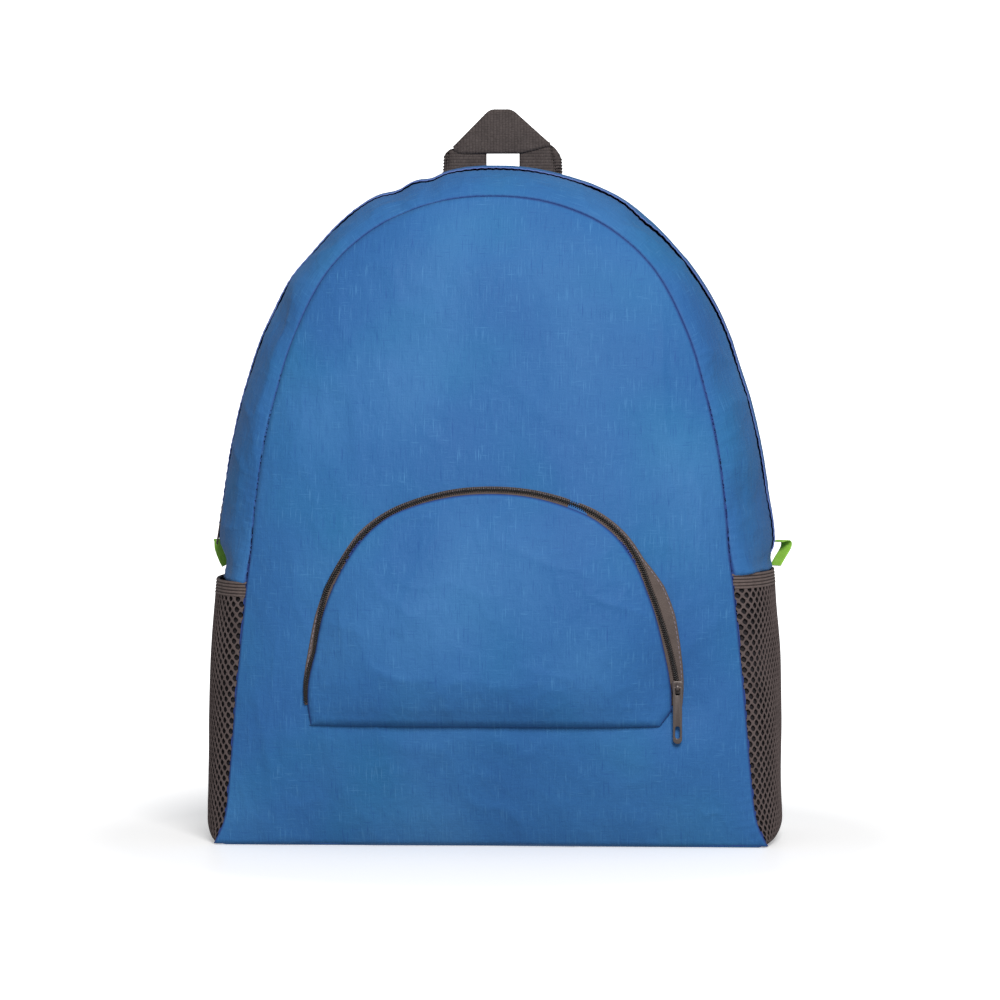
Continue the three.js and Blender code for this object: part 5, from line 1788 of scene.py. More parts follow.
@dataclass
class SidePocket:
    """A stretch net pouch with ribbed elastic along its mouth."""

    form: BagForm
    side: Side
    mouth: float
    pitch_across: float = 5.6 * MM
    pitch_up: float = 6.1 * MM
    hole_half_width: float = 1.5 * MM
    hole_half_height: float = 1.5 * MM
    lean: float = 0.12
    strand: float = 0.5 * MM
    corners: int = 12
    net_over: float = 1.5 * MM
    wander: float = 0.14 * MM
    least_cell: float = 0.2 * MM
    sag: float = 1.1 * MM
    sag_side: float = 14 * MM
    sag_end: float = 20 * MM
    shade_sheet_below: float = 1.5 * MM
    shade_sheet_wall: float = 0.3 * MM
    ribs: int = 5
    rib_depth: float = 0.55 * MM
    rib_sunk: float = 0.2 * MM
    gather: float = 0.25 * MM

    def run(self) -> tuple[Array, Array]:
        """Shares across the pocket, and the length along it to each."""
        part = np.linspace(0, 1, 400)
        line = self.form.pouch(self.side, self.mouth, np.full(400, self.mouth * 0.6), part, 0.0)
        return part, path_lengths(line)

    def build(self, wardrobe: Wardrobe) -> None:
        """Builds the net with the near black sheet of painted shade behind it, and the binding."""
        low, high = self.form.foot, self.mouth + self.net_over
        self.build_net(low, high, wardrobe)
        self.build_shade_sheet(low, high, wardrobe)
        self.build_binding(wardrobe)

    def rings(self, low: float, high: float, width: float) -> Array:
        """The flat net's cells between two heights.

        Args:
            low: The lower height.
            high: The upper height.
            width: The pocket's length from seam to seam.

        Returns:
            Cells, each with four rings of corners: its hole, its middle, its border and its back.
        """
        columns = int(width / self.pitch_across) + 2
        rows = int((high - low) / self.pitch_up) + 2
        centres = []
        for j in range(2 * rows):
            for i in range(columns):
                centres.append(((i + 0.5 * (j % 2)) * self.pitch_across, low + j * self.pitch_up / 2))
        centres = np.array(centres)
        turn = np.arange(self.corners) * 2 * math.pi / self.corners
        around = np.stack([np.cos(turn), np.sin(turn)], -1)
        half_cell = np.array([self.pitch_across, self.pitch_up]) / 2
        cell = around / np.sum(np.abs(around) / half_cell, -1, keepdims=True)
        hole = around * [self.hole_half_width, self.hole_half_height]
        hole[:, 0] += hole[:, 1] * self.lean * (1 if self.side is Side.LEFT else -0.8)
        patch = centres / (5 * MM)
        shift = np.stack([patchy(patch[:, 0], patch[:, 1], seed) for seed in (71, 73)], -1) * self.wander
        rings = []
        for ring, moves in ((hole, 1.0), (mix(hole, cell, 0.5), 0.5), (cell, 0.0), (cell, 0.0)):
            rings.append(centres[:, None] + ring[None] + shift[:, None] * moves)
        flat = np.stack(rings, 1)
        border = flat[:, 2]
        first = np.array([0.0, low]) + self.least_cell
        last = np.array([width, high]) - self.least_cell
        return flat[np.all((border.max(1) > first) & (border.min(1) < last), axis=1)]

    def build_net(self, low: float, high: float, wardrobe: Wardrobe) -> None:
        """Builds the net between two heights, one cell round each hole."""
        part, lengths = self.run()
        width = lengths[-1]
        flat = self.rings(low, high, width)
        run = np.clip(flat[..., 0], 0, width)
        up = np.clip(flat[..., 1], low, high)
        sag = patchy(run / (30 * MM), up / (36 * MM), 75 + self.side.sign) * self.sag
        for distance, reach in ((run, self.sag_side), (width - run, self.sag_side)):
            sag = sag * np.clip(distance / reach, 0, 1)
        for distance, reach in ((high - up, self.sag_end), (up - low, self.sag_end)):
            sag = sag * np.clip(distance / reach, 0, 1)
        deep = np.array([0.45, -0.25, 0.0, 1.5])[None, :, None] * self.strand
        across = np.interp(run, lengths, part)
        points = self.form.pouch(self.side, self.mouth, up, across, deep + sag)
        count = self.corners
        k = np.arange(count)
        n = (k + 1) % count
        quads = []
        for here, there in ((0, count), (count, 2 * count), (3 * count, 0)):
            quads.append(np.stack([here + k, here + n, there + n, there + k], -1))
        cell_faces = np.concatenate(quads)
        if self.side is Side.RIGHT:
            cell_faces = cell_faces[:, ::-1]
        faces = (cell_faces[None] + (np.arange(len(flat)) * 4 * count)[:, None, None]).reshape(-1, 4)
        # The distance from the hole, which the finish darkens as painted shade
        edge = np.broadcast_to(np.array([0.0, 0.5, 1.0, 1.0])[None, :, None] * MM, run.shape)
        maker = Maker()
        maker.add(points, [faces], point(run, up, edge))
        net = maker.build(f"pocket_net_{self.side.word}", wardrobe.net, merge=0.01 * MM)
        place_piece(net, Slot.NET, f"mesh_pocket_{self.side.word}")

    def build_shade_sheet(self, low: float, high: float, wardrobe: Wardrobe) -> None:
        """Builds the near black sheet behind the net, painted shade that shows through its holes."""
        width = self.run()[1][-1]
        heights, shares = np.linspace(low, high, 50), np.linspace(0.004, 0.996, 60)
        height, part = np.meshgrid(heights, shares, indexing="ij")
        shade_sheet = self.form.pouch(self.side, self.mouth, height, part, self.shade_sheet_below)
        maker = Maker()
        cloth_wall(maker, shade_sheet, point(part * width, height, 1.0), self.shade_sheet_wall)
        # A near black sheet behind the net: painted shade seen through the holes
        place_piece(maker.build(f"pocket_lining_{self.side.word}", wardrobe.painted_shade_tape), Slot.NET)

    def build_binding(self, wardrobe: Wardrobe) -> None:
        """Builds the ribbed elastic."""
        form = self.form
        width = self.run()[1][-1]
        parts, shares = np.linspace(0, 1, 110), np.linspace(0, 1, 6 * self.ribs + 1)
        part, share = np.meshgrid(parts, shares, indexing="ij")
        rib = np.abs(np.sin(share * math.pi * self.ribs)) ** 0.6
        height = self.mouth + form.clearance + share * form.binding_height
        gather = patchy(part * width / (5 * MM), 1.5, 77 + self.side.sign) * self.gather
        below = -rib * self.rib_depth + self.rib_sunk - gather
        outer = form.pouch(self.side, self.mouth, height, part, below)
        maker = Maker()
        cloth_wall(maker, outer, point(height, part * width, rib), form.binding_wall)
        piece = maker.build(f"pocket_elastic_{self.side.word}", wardrobe.binding)
        place_piece(piece, Slot.BINDING, f"pocket_binding_{self.side.word}")


ZIP_RIGHT = Table(
    ("rise", "inner", "coil", "outer"),
    (
        (0.0, -2.6, 0.0, 2.4),
        (0.13, -3.4, 0.0, 3.0),
        (0.19, -4.0, -0.5, 3.5),
        (0.32, -4.2, -1.0, 5.0),
        (0.46, -4.4, -2.2, 6.2),
        (0.58, -4.4, -2.4, 5.6),
        (0.7, -3.0, -0.6, 2.4),
        (0.81, -2.6, 0.0, 2.6),
        (0.895, -2.4, 0.2, 2.4),
        (0.95, -2.2, 0.4, 2.2),
        (1.0, -2.0, 0.4, 2.0),
    ),
)

ZIP_LEFT = Table(
    ("rise", "inner", "coil", "outer"),
    (
        (0.0, -0.8, 0.0, 0.8),
        (0.1, -0.9, 0.0, 0.9),
        (0.19, -1.4, 0.0, 1.4),
        (0.32, -2.6, -2.4, 1.6),
        (0.46, -2.0, -0.8, 2.0),
        (0.58, -2.2, 0.8, 1.8),
        (0.7, -2.2, -0.2, 1.6),
        (0.81, -2.2, -0.6, 2.0),
        (0.895, -1.6, -0.2, 1.6),
        (0.95, -1.6, 0.3, 1.8),
        (1.0, -2.0, 0.4, 2.0),
    ),
)


POCKET_CRUMPLES = ((patchy, 48, 44, 1.1, 81), (creased, 36, 40, 1.0, 83), (creased, 14, 16, 0.45, 87))


@dataclass
class FrontPocket:
    """The half-moon pocket on the front, with its arched zipper."""

    form: BagForm
    wall: float = 0.8 * MM
    roll: float = 2.6 * MM
    proud: float = 2.4 * MM
    puff: float = 7.5 * MM
    lip: float = 3.2 * MM
    foot_roll: float = 5 * MM
    shoulder: float = 0.4
    tape_wall: float = 0.6 * MM
    tape_lift: float = 0.5 * MM
    end_rise: float = 12 * MM
    tape_rows: int = 330
    corner_x: float = 98 * MM
    corner_rise: float = 8.5 * MM
    swell_reach: float = 28 * MM
    calm_edge: float = 10 * MM
    foot_highlight_reach: float = 1.2 * MM
    tape_under: float = 2.2 * MM
    tape_wave: float = 0.25 * MM
    seam_inset: float = 1.0 * MM
    coil_lift: float = 0.2 * MM
    pucker: Pucker = Pucker(depth=0.22 * MM, pitch=5 * MM, reach=5 * MM, seed=15)
    stitching: Stitching = Stitching(length=2.2 * MM, gap=0.7 * MM, radius=0.22 * MM)
    coil: Coil = Coil(pitch=1.25 * MM, half_width=1.5 * MM, radius=0.5 * MM)

    def offset(self, name: str, turn: Array) -> Array:
        """The zipper's named offset from the pocket's outline."""
        rise = POCKET_OUTLINE.at("rise", 1 - np.abs(turn), 1)
        sides = []
        for table in (ZIP_LEFT, ZIP_RIGHT):
            sides.append(np.interp(rise, table.column("rise"), table.column(name)))
        return np.where(turn < 0, sides[0], sides[1]) * MM

    def line(self, name: str, low: float, high: float, count: int, more: float = 0.0) -> Array:
        """The places along one of the zipper's lines.

        Args:
            name: The line's name in the zipper's tables.
            low: The first turn, from -1 at the left bottom corner to 1 at the right one.
            high: The last turn.
            count: How many places.
            more: How much further outwards they lie.

        Returns:
            The places as X and Z.
        """
        turn = np.linspace(low, high, count)
        return self.form.pocket_edge(turn, self.offset(name, turn) + more)

    def build(self, wardrobe: Wardrobe) -> None:
        """Builds the pocket and its zipper."""
        self.build_cloth(wardrobe)
        self.build_zipper(wardrobe)

    def build_cloth(self, wardrobe: Wardrobe) -> None:
        """Builds the pocket's panel."""
        form = self.form
        up = crowded_unit(110)
        across = crowded_unit(140)
        left = resampled(self.line("inner", -1, -self.shoulder, 700), up)
        right = self.line("inner", 1, self.shoulder, 700)
        right = resampled(right[right[:, 1] > form.pocket_bottom + self.corner_rise], up)
        top = resampled(self.line("inner", -self.shoulder, self.shoulder, 900), across)
        corner = np.array([self.corner_x, form.pocket_bottom])
        bottom = resampled(np.array([left[0], corner, right[0]]), across)
        places = coons(bottom, top, left, right)
        x, z = places[..., 0], places[..., 1]
        border = np.concatenate([self.line("inner", -1, 1, 2000), bottom[::-1]])
        distance, along = nearest_on(border, places)
        panel_top = top[:, 1].max()
        height = np.clip((z - form.pocket_bottom) / (panel_top - form.pocket_bottom), 0, 1)
        share = np.clip((x - form.pocket_centre) / form.pocket_half_width, -1, 1)
        near = np.clip(distance / self.swell_reach, 0, 1)
        swell = self.puff * (1 - share**4) * np.sin(math.pi * height**0.6) * (1 - (1 - near) ** 2)
        lip = self.lip * (1 - height) * (1 - share**8)
        raised = crumpled(POCKET_CRUMPLES, x, z) * np.clip(distance / self.calm_edge, 0, 1)
        over_tape = np.clip((z - form.pocket_bottom) / self.end_rise, 0, 1)
        over_tape = over_tape * (self.tape_lift + self.tape_wall)
        raised += self.pucker.at(along, distance) + swell + lip + self.proud + over_tape
        roll = mix(self.foot_roll, self.roll, np.clip(height * 4, 0, 1))
        raised -= rolled(distance, roll) * (self.proud + lip * 0.8) / roll
        depth = form.front_depth(x, z) - form.clearance - raised
        maker = Maker()
        # A thin painted highlight along the pocket's foot, read by the cloth finish
        foot_highlight = HIGHLIGHT_MARK * np.clip(1 - (z - form.pocket_bottom) / self.foot_highlight_reach, 0, 1)
        cloth_wall(maker, point(x, depth, z), point(x, z, distance + foot_highlight), self.wall)
        place_piece(maker.build("pocket_cloth", wardrobe.cloth), Slot.CLOTH, "front_pocket")

    def on_tape(self, places: Array, raised: Array | float = 0.0) -> Array:
        """Points on the zipper's tape at places in X and Z, raised by a wave of the tape."""
        depth = self.form.front_depth(places[..., 0], places[..., 1])
        depth = depth - self.tape_lift - self.tape_wall - raised
        return point(places[..., 0], depth, places[..., 1])

    def build_zipper(self, wardrobe: Wardrobe) -> None:
        """Builds the tape, its stitching and the coil."""
        form = self.form
        dense = np.linspace(0, 1, 4001)
        end = 1 - np.interp(self.end_rise, form.pocket_height * POCKET_OUTLINE.at("rise", dense, 1), dense)
        inner = self.line("inner", -end, end, self.tape_rows, -self.tape_under)
        outer_edge = self.line("outer", -end, end, self.tape_rows)
        share = np.linspace(0, 1, 8)[None]
        places = mix(inner[:, None], outer_edge[:, None], share[..., None])
        length = path_lengths(outer_edge)[:, None]
        wave = patchy(length / (12 * MM), 0.5, 91) * self.tape_wave
        side = np.linalg.norm(places - outer_edge[:, None], axis=-1)
        maker = Maker()
        cloth_wall(maker, self.on_tape(places, wave * share), point(side, length, 1.0), self.tape_wall)
        place_piece(maker.build("pocket_zipper_tape", wardrobe.tape), Slot.ZIPPER, "pocket_zipper")
        path = self.on_tape(self.line("outer", -end, end, self.tape_rows, -self.seam_inset))
        outward = np.broadcast_to(np.array([0.0, -1.0, 0.0]), path.shape)
        maker = Maker()
        self.stitching.sew(maker, path, outward)
        place_piece(maker.build("pocket_zipper_seam", wardrobe.taupe_thread), Slot.ZIPPER)
        path = self.on_tape(self.line("coil", -end, end, self.tape_rows))
        sideways = unit(np.cross(unit(np.gradient(path, axis=0)), outward))
        path = path + outward * self.coil_lift
        self.coil.wind("pocket_zipper_coil", path, sideways, outward, wardrobe)


# The right half of the slider's outline, as shares of its half width and half height
SLIDER_RIGHT = ((0.62, -1.0), (0.9, -0.72), (1.0, -0.2), (1.0, 0.62), (0.86, 0.9), (0.55, 1.0))


@dataclass
class SliderAndPull:
    """The front pocket's slider with its hanging pull."""

    form: BagForm
    plate_wall: float = 2.4 * MM
    slider_bevel: float = 0.7 * MM
    bridge_half: float = 2.0 * MM
    bridge_sunk: float = 0.4 * MM
    bridge_width: float = 1.8 * MM
    bridge_wall: float = 0.9 * MM
    bridge_inset: float = 0.5 * MM
    pull_bevel: float = 0.3 * MM
    slot_half_width: float = 1.3 * MM
    slot_half_length: float = 3.5 * MM
    slot_margin: float = 3 * MM
    slot_round: float = 1.2 * MM
    arm: float = 1.3 * MM
    head: float = 1.05 * MM
    eye_reach: float = 4.9 * MM
    corner: float = 0.8 * MM

    def build(self, wardrobe: Wardrobe) -> None:
        """Builds the slider, its bridge and the pull."""
        low, high = (np.array(corner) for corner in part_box("pocket_slider"))
        centre = (low + high) / 2
        half_x, half_z = (high[0] - low[0]) / 2, (high[2] - low[2]) / 2
        right = np.array(SLIDER_RIGHT)
        outline = np.roll(np.concatenate([right, right[::-1] * [-1, 1]]), 1, axis=0)
        outline = outline * [half_x, half_z] + [centre[0], centre[2]]
        outline = smooth_path(np.concatenate([outline, outline[:1]]), 0.5 * MM)[:-1]
        middle = high[1] - self.plate_wall / 2
        plate = plate_piece(
            "pocket_slider_body", [outline], self.plate_wall, self.slider_bevel, wardrobe.enamel, middle
        )
        place_piece(plate, Slot.ENAMEL, "pocket_slider")
        front = high[1] - self.plate_wall + self.bridge_sunk
        reach = front - low[1] - self.bridge_inset
        turn = np.linspace(0, math.pi, 17)
        depth = front - reach * np.sin(turn) ** 0.7
        path = point(centre[0], depth, centre[2] + self.bridge_half * np.cos(turn))
        maker = Maker()
        swept(maker, path, ACROSS_X, band_section(self.bridge_width, self.bridge_wall, 5))
        place_piece(maker.build("pocket_slider_bridge", wardrobe.enamel), Slot.ENAMEL)
        self.build_pull(wardrobe, centre[0])

    def build_pull(self, wardrobe: Wardrobe, x: float) -> None:
        """Builds the pull."""
        low, high = (np.array(corner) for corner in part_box("pocket_pull"))
        half = (high[0] - low[0]) / 2
        turn = np.linspace(-math.pi, 0, 15)
        tip = np.stack([x + np.cos(turn) * half, low[2] + half + np.sin(turn) * half], -1)
        shoulder = half - self.corner
        top = np.array([(half, -self.corner), (shoulder, 0), (-shoulder, 0), (-half, -self.corner)])
        outer = np.concatenate([tip, top + [x, high[2]]])
        eye_half = (self.eye_reach - self.head) / 2
        eye = rounded_box(x, high[2] - self.head - eye_half, half - self.arm, eye_half, self.corner)
        slot_middle = low[2] + self.slot_margin + self.slot_half_length
        slot = rounded_box(x, slot_middle, self.slot_half_width, self.slot_half_length, self.slot_round)
        middle = (low[1] + high[1]) / 2
        outlines = [outer, eye, slot]
        pull = plate_piece(
            "pocket_pull_tag", outlines, high[1] - low[1], self.pull_bevel, wardrobe.enamel, middle
        )
        place_piece(pull, Slot.ENAMEL, "pocket_pull", body=Body.PULL)


@dataclass
class MainSlider:
    """The main zipper's slider with its pull lying along the zipper."""

    form: BagForm
    slider_rise: float = 24 * MM
    width: float = 6 * MM
    length: float = 8 * MM
    depth: float = 2.6 * MM
    pull_length: float = 24 * MM
    pull_over: float = 5 * MM
    pull_width: float = 5 * MM
    pull_wall: float = 1.1 * MM
    pull_gap: float = 0.7 * MM
    ahead: float = 0.02
    lift: float = -3.4 * MM

    def build(self, wardrobe: Wardrobe) -> None:
        """Builds the slider."""
        form = self.form
        height = form.zipper_end_height + self.slider_rise
        turn = -(1 - form.along_at(form.rim, height))
        turns = np.array([turn, turn + self.ahead])
        here, ahead = form.gusset(turns, form.beside_zipper(turns, 0.0))
        side = form.gusset(turns[:1], form.beside_zipper(turns[:1], self.width / 3))[0]
        up = unit(ahead - here)
        outward = unit(np.cross(up, side - here))
        across = unit(np.cross(outward, up))
        maker = Maker()
        share = np.linspace(-1, 1, 15)
        body = here + outward * (self.lift + self.depth / 2) + up * share[:, None] * self.length / 2
        taper = np.sqrt(np.clip(1 - np.abs(share) ** 5, 0.05, 1))
        sections = [band_section(self.width * t, self.depth * mix(0.5, 1, t), 5) for t in taper]
        swept(maker, body, across, lambda i: sections[i])
        share = np.linspace(0, 1, 22)
        raised = outward * (self.lift + self.depth + self.pull_gap)
        line = here + raised + up * (self.pull_over - share * self.pull_length)[:, None]
        widths = self.pull_width * np.sqrt(np.clip(1 - np.abs(2 * share - 1) ** 9, 0.03, 1))
        flat = [band_section(width, self.pull_wall, 5) for width in widths]
        swept(maker, line, across, lambda i: flat[i])
        place_piece(maker.build("main_slider_body", wardrobe.enamel), Slot.ENAMEL, "main_slider")


@dataclass(frozen=True)
class Webbing:
    """Real ribs across a woven band."""

    pitch: float = 1.8 * MM
    depth: float = 0.35 * MM

    def crest(self, along: Array) -> Array:
        """From 0 in a groove to 1 on a rib."""
        return 0.5 + 0.5 * np.sin(2 * math.pi * along / self.pitch)

    def raised(self, along: Array) -> Array:
        """How far the band stands out."""
        return (self.crest(along) - 0.5) * 2 * self.depth


# Heights over places across, in millimetres from the handle's top and from its middle
CROSS_TOP = ((-30.1, -22.4), (-7.6, 0.3), (4.9, 0.3), (26.9, -19.6), (27.6, -20.0))
CROSS_LOW = ((-30.1, -22.8), (-25.0, -24.6), (-11.0, -24.2), (10.0, -24.2), (19.0, -22.2), (27.6, -19.9))
LEG_TOP_LEFT = ((-36.2, -28.0), (-35.2, -25.0), (-33.0, -23.2), (-29.0, -22.8), (-10.0, -23.6))
LEG_TOP_RIGHT = ((10.0, -23.6), (20.0, -21.6), (27.0, -19.8), (30.0, -21.0), (33.0, -24.2), (35.2, -29.0))


@dataclass
class GrabHandle:
    """Webbing folded slantwise into a loop on the top seam."""

    form: BagForm
    width: float = 25 * MM
    rise: float = 34 * MM
    leg_drop: float = 29 * MM
    centre: float = 2 * MM
    cross_wall: float = 1.2 * MM
    leg_wall: float = 1.3 * MM
    cross_from: float = -29.6 * MM
    cross_to: float = 27.6 * MM
    cross_bend: float = 1.2 * MM
    bend_reach: float = 28 * MM
    least_height: float = 0.3 * MM
    edge_roll: float = 0.8 * MM
    layer: float = 0.5 * MM
    left_leg: tuple[float, float] = (10.8 * MM, 36.2 * MM)
    right_leg: tuple[float, float] = (10.4 * MM, 35.2 * MM)
    leg_lean: float = 1.4 * MM
    corner_reach: float = 2 * MM
    ribs: Webbing = Webbing()

    @property
    def bar_top(self) -> float:
        """The height of the handle's top."""
        return self.form.height + self.rise

    def height_at(self, rows: Sequence[tuple[float, float]], x: Array) -> Array:
        """A table of heights read at places across, with its corners rounded."""
        across, height = np.array(rows).T * MM
        steps = np.linspace(-self.corner_reach, self.corner_reach, 9)
        return sum(np.interp(x + step, across, height) for step in steps) / len(steps)

    def build(self, wardrobe: Wardrobe) -> None:
        """Builds the cross piece and both legs."""
        form = self.form
        leg_foot = self.bar_top - self.width - self.leg_drop
        leg_front = float(form.back_depth(np.array(self.centre), np.array(leg_foot))) + form.clearance
        maker = Maker()
        self.add_cross(maker, leg_front)
        for side in Side:
            self.add_leg(maker, side, leg_foot, leg_front)
        piece = maker.build("grab_handle_webbing", wardrobe.webbing)
        place_piece(piece, Slot.WEBBING, "grab_handle")

    def add_cross(self, maker: Maker, leg_front: float) -> None:
        """Adds the cross piece."""
        x = np.linspace(self.cross_from, self.cross_to, 270)[None]
        top = self.bar_top + self.height_at(CROSS_TOP, x)
        low = self.bar_top + self.height_at(CROSS_LOW, x)
        top = np.maximum(top, low + self.least_height)
        z = mix(low, top, crowded_unit(16)[:, None])
        edge = np.minimum(z - low, top - z)
        bend = self.cross_bend * (1 - (x / self.bend_reach) ** 2)
        y = leg_front - self.layer - bend - self.ribs.raised(x) + rolled(edge, self.edge_roll)
        cloth_wall(maker, point(self.centre + x, y, z), point(z, x, self.ribs.crest(x)), self.cross_wall)

    def add_leg(self, maker: Maker, side: Side, leg_foot: float, leg_front: float) -> None:
        """Adds one leg of the handle.

        Args:
            maker: Where it is added.
            side: The leg's side.
            leg_foot: The height of its lower end.
            leg_front: The depth of the surface that it lies on.
        """
        sign = side.sign
        inner, outer = self.right_leg if side is Side.RIGHT else self.left_leg
        share = np.linspace(0, 1, 26)[None]
        up = np.linspace(0, 1, 170)[:, None]
        flat = sign * mix(inner, outer, share) + 0 * up
        rows = LEG_TOP_RIGHT if side is Side.RIGHT else LEG_TOP_LEFT
        top = self.bar_top + self.height_at(rows, flat)
        z = mix(leg_foot, top, up)
        lean = -sign * np.clip((z - leg_foot) / self.leg_drop, 0, 1.3) ** 2 * self.leg_lean
        edge = np.minimum(np.minimum(share, 1 - share) * self.width, top - z)
        y = leg_front + self.layer - self.ribs.raised(z) + rolled(edge, self.edge_roll)
        x = flat + lean * share
        crest = self.ribs.crest(z)
        if side is Side.LEFT:
            x, y, z, crest = x[:, ::-1], y[:, ::-1], z[:, ::-1], crest[:, ::-1]
        cloth_wall(maker, point(self.centre + x, y, z), point(x, z, crest), self.leg_wall)


@dataclass
class ShoulderStrap:
    """A padded shoulder strap with its buckle and the webbing through it."""

    form: BagForm
    side: Side
    width: float = 52 * MM
    wall: float = 5 * MM
    top_drop: float = 24 * MM
    top_spread: float = 40 * MM
    foot_height: float = 152 * MM
    foot_spread: float = 84 * MM
    bow: float = 20 * MM
    tab_width: float = 24 * MM
    tab_wall: float = 1.6 * MM
    buckle_wall: float = 3 * MM
    buckle_bevel: float = 0.8 * MM
    stand_off: float = 7 * MM
    bar: float = 4 * MM
    slot: float = 7.5 * MM
    buckle_width: float = 34 * MM
    webbing_width: float = 25 * MM
    webbing_wall: float = 1.4 * MM
    foot_inset: float = 50 * MM
    webbing_foot_height: float = 16 * MM
    tail: float = 62 * MM
    around: int = 28
    thinner: float = 0.45
    ripple: float = 0.35 * MM
    ripple_width: float = 14 * MM
    tab_reach: float = 4 * MM
    tab_slant: float = 3 * MM
    seam_inset: float = 4 * MM
    stitching: Stitching = Stitching(radius=0.3 * MM)
    ribs: Webbing = Webbing(pitch=1.4 * MM)

    @property
    def buckle_depth(self) -> float:
        """The depth of the buckle's middle."""
        return self.form.back_reach + self.form.back_crown + self.stand_off

    @property
    def buckle_height(self) -> float:
        """The buckle's height."""
        return 3 * self.bar + 2 * self.slot

    @property
    def pad_end(self) -> tuple[float, float]:
        """The depth and the height of the pad's lower end."""
        return self.buckle_depth + self.bar_radius(self.tab_wall)[0], self.foot_height + 2 * self.bar

    def bar_radius(self, wall: float) -> tuple[float, float]:
        """How far a band's middle passes behind and above a bar's middle."""
        deep = self.buckle_wall / 2 * math.sqrt(2) + self.form.clearance + wall / 2
        high = self.bar / 2 * math.sqrt(2) + self.form.clearance + wall / 2
        return deep, high

    def round_bar(self, x: float, bar_height: float, over: bool, wall: float) -> Array:
        """Places round a bar of the buckle.

        Args:
            x: The bar's middle along X.
            bar_height: The bar's middle along Z.
            over: Whether the band passes over the bar and not under it.
            wall: The band's thickness.

        Returns:
            The places, from the bag's side to the wearer's when over, or the other way.
        """
        deep, high = self.bar_radius(wall)
        turn = np.linspace(0, math.pi, 9)
        sign = 1 if over else -1
        return point(
            x,
            self.buckle_depth - sign * deep * np.cos(turn),
            bar_height + sign * high * np.sin(turn),
        )

    def build(self, wardrobe: Wardrobe) -> None:
        """Builds the strap, the buckle and the webbing."""
        self.build_pad(wardrobe)
        self.build_buckle(wardrobe)
        self.build_webbing(wardrobe)

    def build_pad(self, wardrobe: Wardrobe) -> None:
        """Builds the padded strap with its tab and its seams."""
        form = self.form
        top = form.height - self.top_drop
        inner = self.top_spread - self.width / 2
        top_depth = float(form.back_depth(np.array(inner), np.array(top))) + form.clearance + self.wall / 2
        end_depth, end = self.pad_end
        down = STRAP_LINE.column("down")
        knots = point(
            self.side.sign * mix(self.top_spread, self.foot_spread, down**1.4),
            mix(top_depth, end_depth, down) + self.bow * STRAP_LINE.column("bow"),
            mix(top, end, down),
        )
        path = smooth_path(knots, 2 * MM)
        share = path_lengths(path) / path_lengths(path)[-1]
        knot_share = path_lengths(knots) / path_lengths(knots)[-1]
        widths = np.interp(share, knot_share, STRAP_LINE.column("width")) * self.width
        walls = self.wall * (1 - self.thinner * np.clip((share - 0.9) / 0.1, 0, 1))
        turn = np.linspace(0, 2 * math.pi, self.around, endpoint=False)
        across, up = np.cos(turn), np.sin(turn)

        def section(i: int) -> Array:
            """The pad's section at a point of its path."""
            wide = np.sign(across) * np.abs(across) ** 0.62 * widths[i] / 2
            inset = np.abs(wide) / (widths[i] / 2)
            thin = 1 - self.thinner * np.clip((inset - 0.84) / 0.16, 0, 1)
            high = np.sign(up) * np.abs(up) ** 0.5 * walls[i] / 2 * thin
            ripple = patchy(share[i] * 40, wide / self.ripple_width, 101) * self.ripple
            return np.stack([wide, high + np.sign(high) * ripple * (inset < 0.9)], -1)

        maker = Maker()
        swept(maker, path, ACROSS_X, section)
        pad = maker.build(f"strap_pad_{self.side.word}", wardrobe.cloth)
        place_piece(pad, Slot.STRAP, f"shoulder_strap_{self.side.word}")
        self.build_tab(wardrobe)
        self.sew_pad(path, widths, walls, wardrobe)

    def build_tab(self, wardrobe: Wardrobe) -> None:
        """Builds the webbing tab that holds the buckle to the pad."""
        end_depth, end = self.pad_end
        deep, _ = self.bar_radius(self.tab_wall)
        x = self.side.sign * self.foot_spread
        above, below = end + self.tab_reach, end - self.tab_reach
        loop = self.round_bar(x, self.foot_height - self.bar / 2, False, self.tab_wall)
        start = np.array([[x, end_depth, above], [x, end_depth, below]])
        finish = np.array([[x, self.buckle_depth - deep, below], [x, end_depth - self.tab_slant, above]])
        path = smooth_path(np.concatenate([start, loop, finish]), 1 * MM)
        maker = Maker()
        swept(maker, path, ACROSS_X, band_section(self.tab_width, self.tab_wall, 9))
        place_piece(maker.build(f"strap_tab_{self.side.word}", wardrobe.webbing), Slot.STRAP)

    def sew_pad(self, path: Array, widths: Array, walls: Array, wardrobe: Wardrobe) -> None:
        """Sews two rows of stitches on both faces of the pad.

        Args:
            path: The pad's middle line.
            widths: Its width at each point.
            walls: Its thickness at each point.
            wardrobe: The finishes.
        """
        along = unit(np.gradient(path, axis=0))
        wide = unit(np.cross(np.cross(along, ACROSS_X), along))
        out = unit(np.cross(along, wide))
        inset = widths / 2 - self.seam_inset
        maker = Maker()
        for edge in (-1, 1):
            for face in (-1, 1):
                seam = path + wide * (edge * inset)[:, None] + out * (face * walls * 0.47)[:, None]
                self.stitching.sew(maker, seam[2:-2], (out * face)[2:-2])
        place_piece(maker.build(f"strap_seam_{self.side.word}", wardrobe.blue_thread), Slot.STRAP)

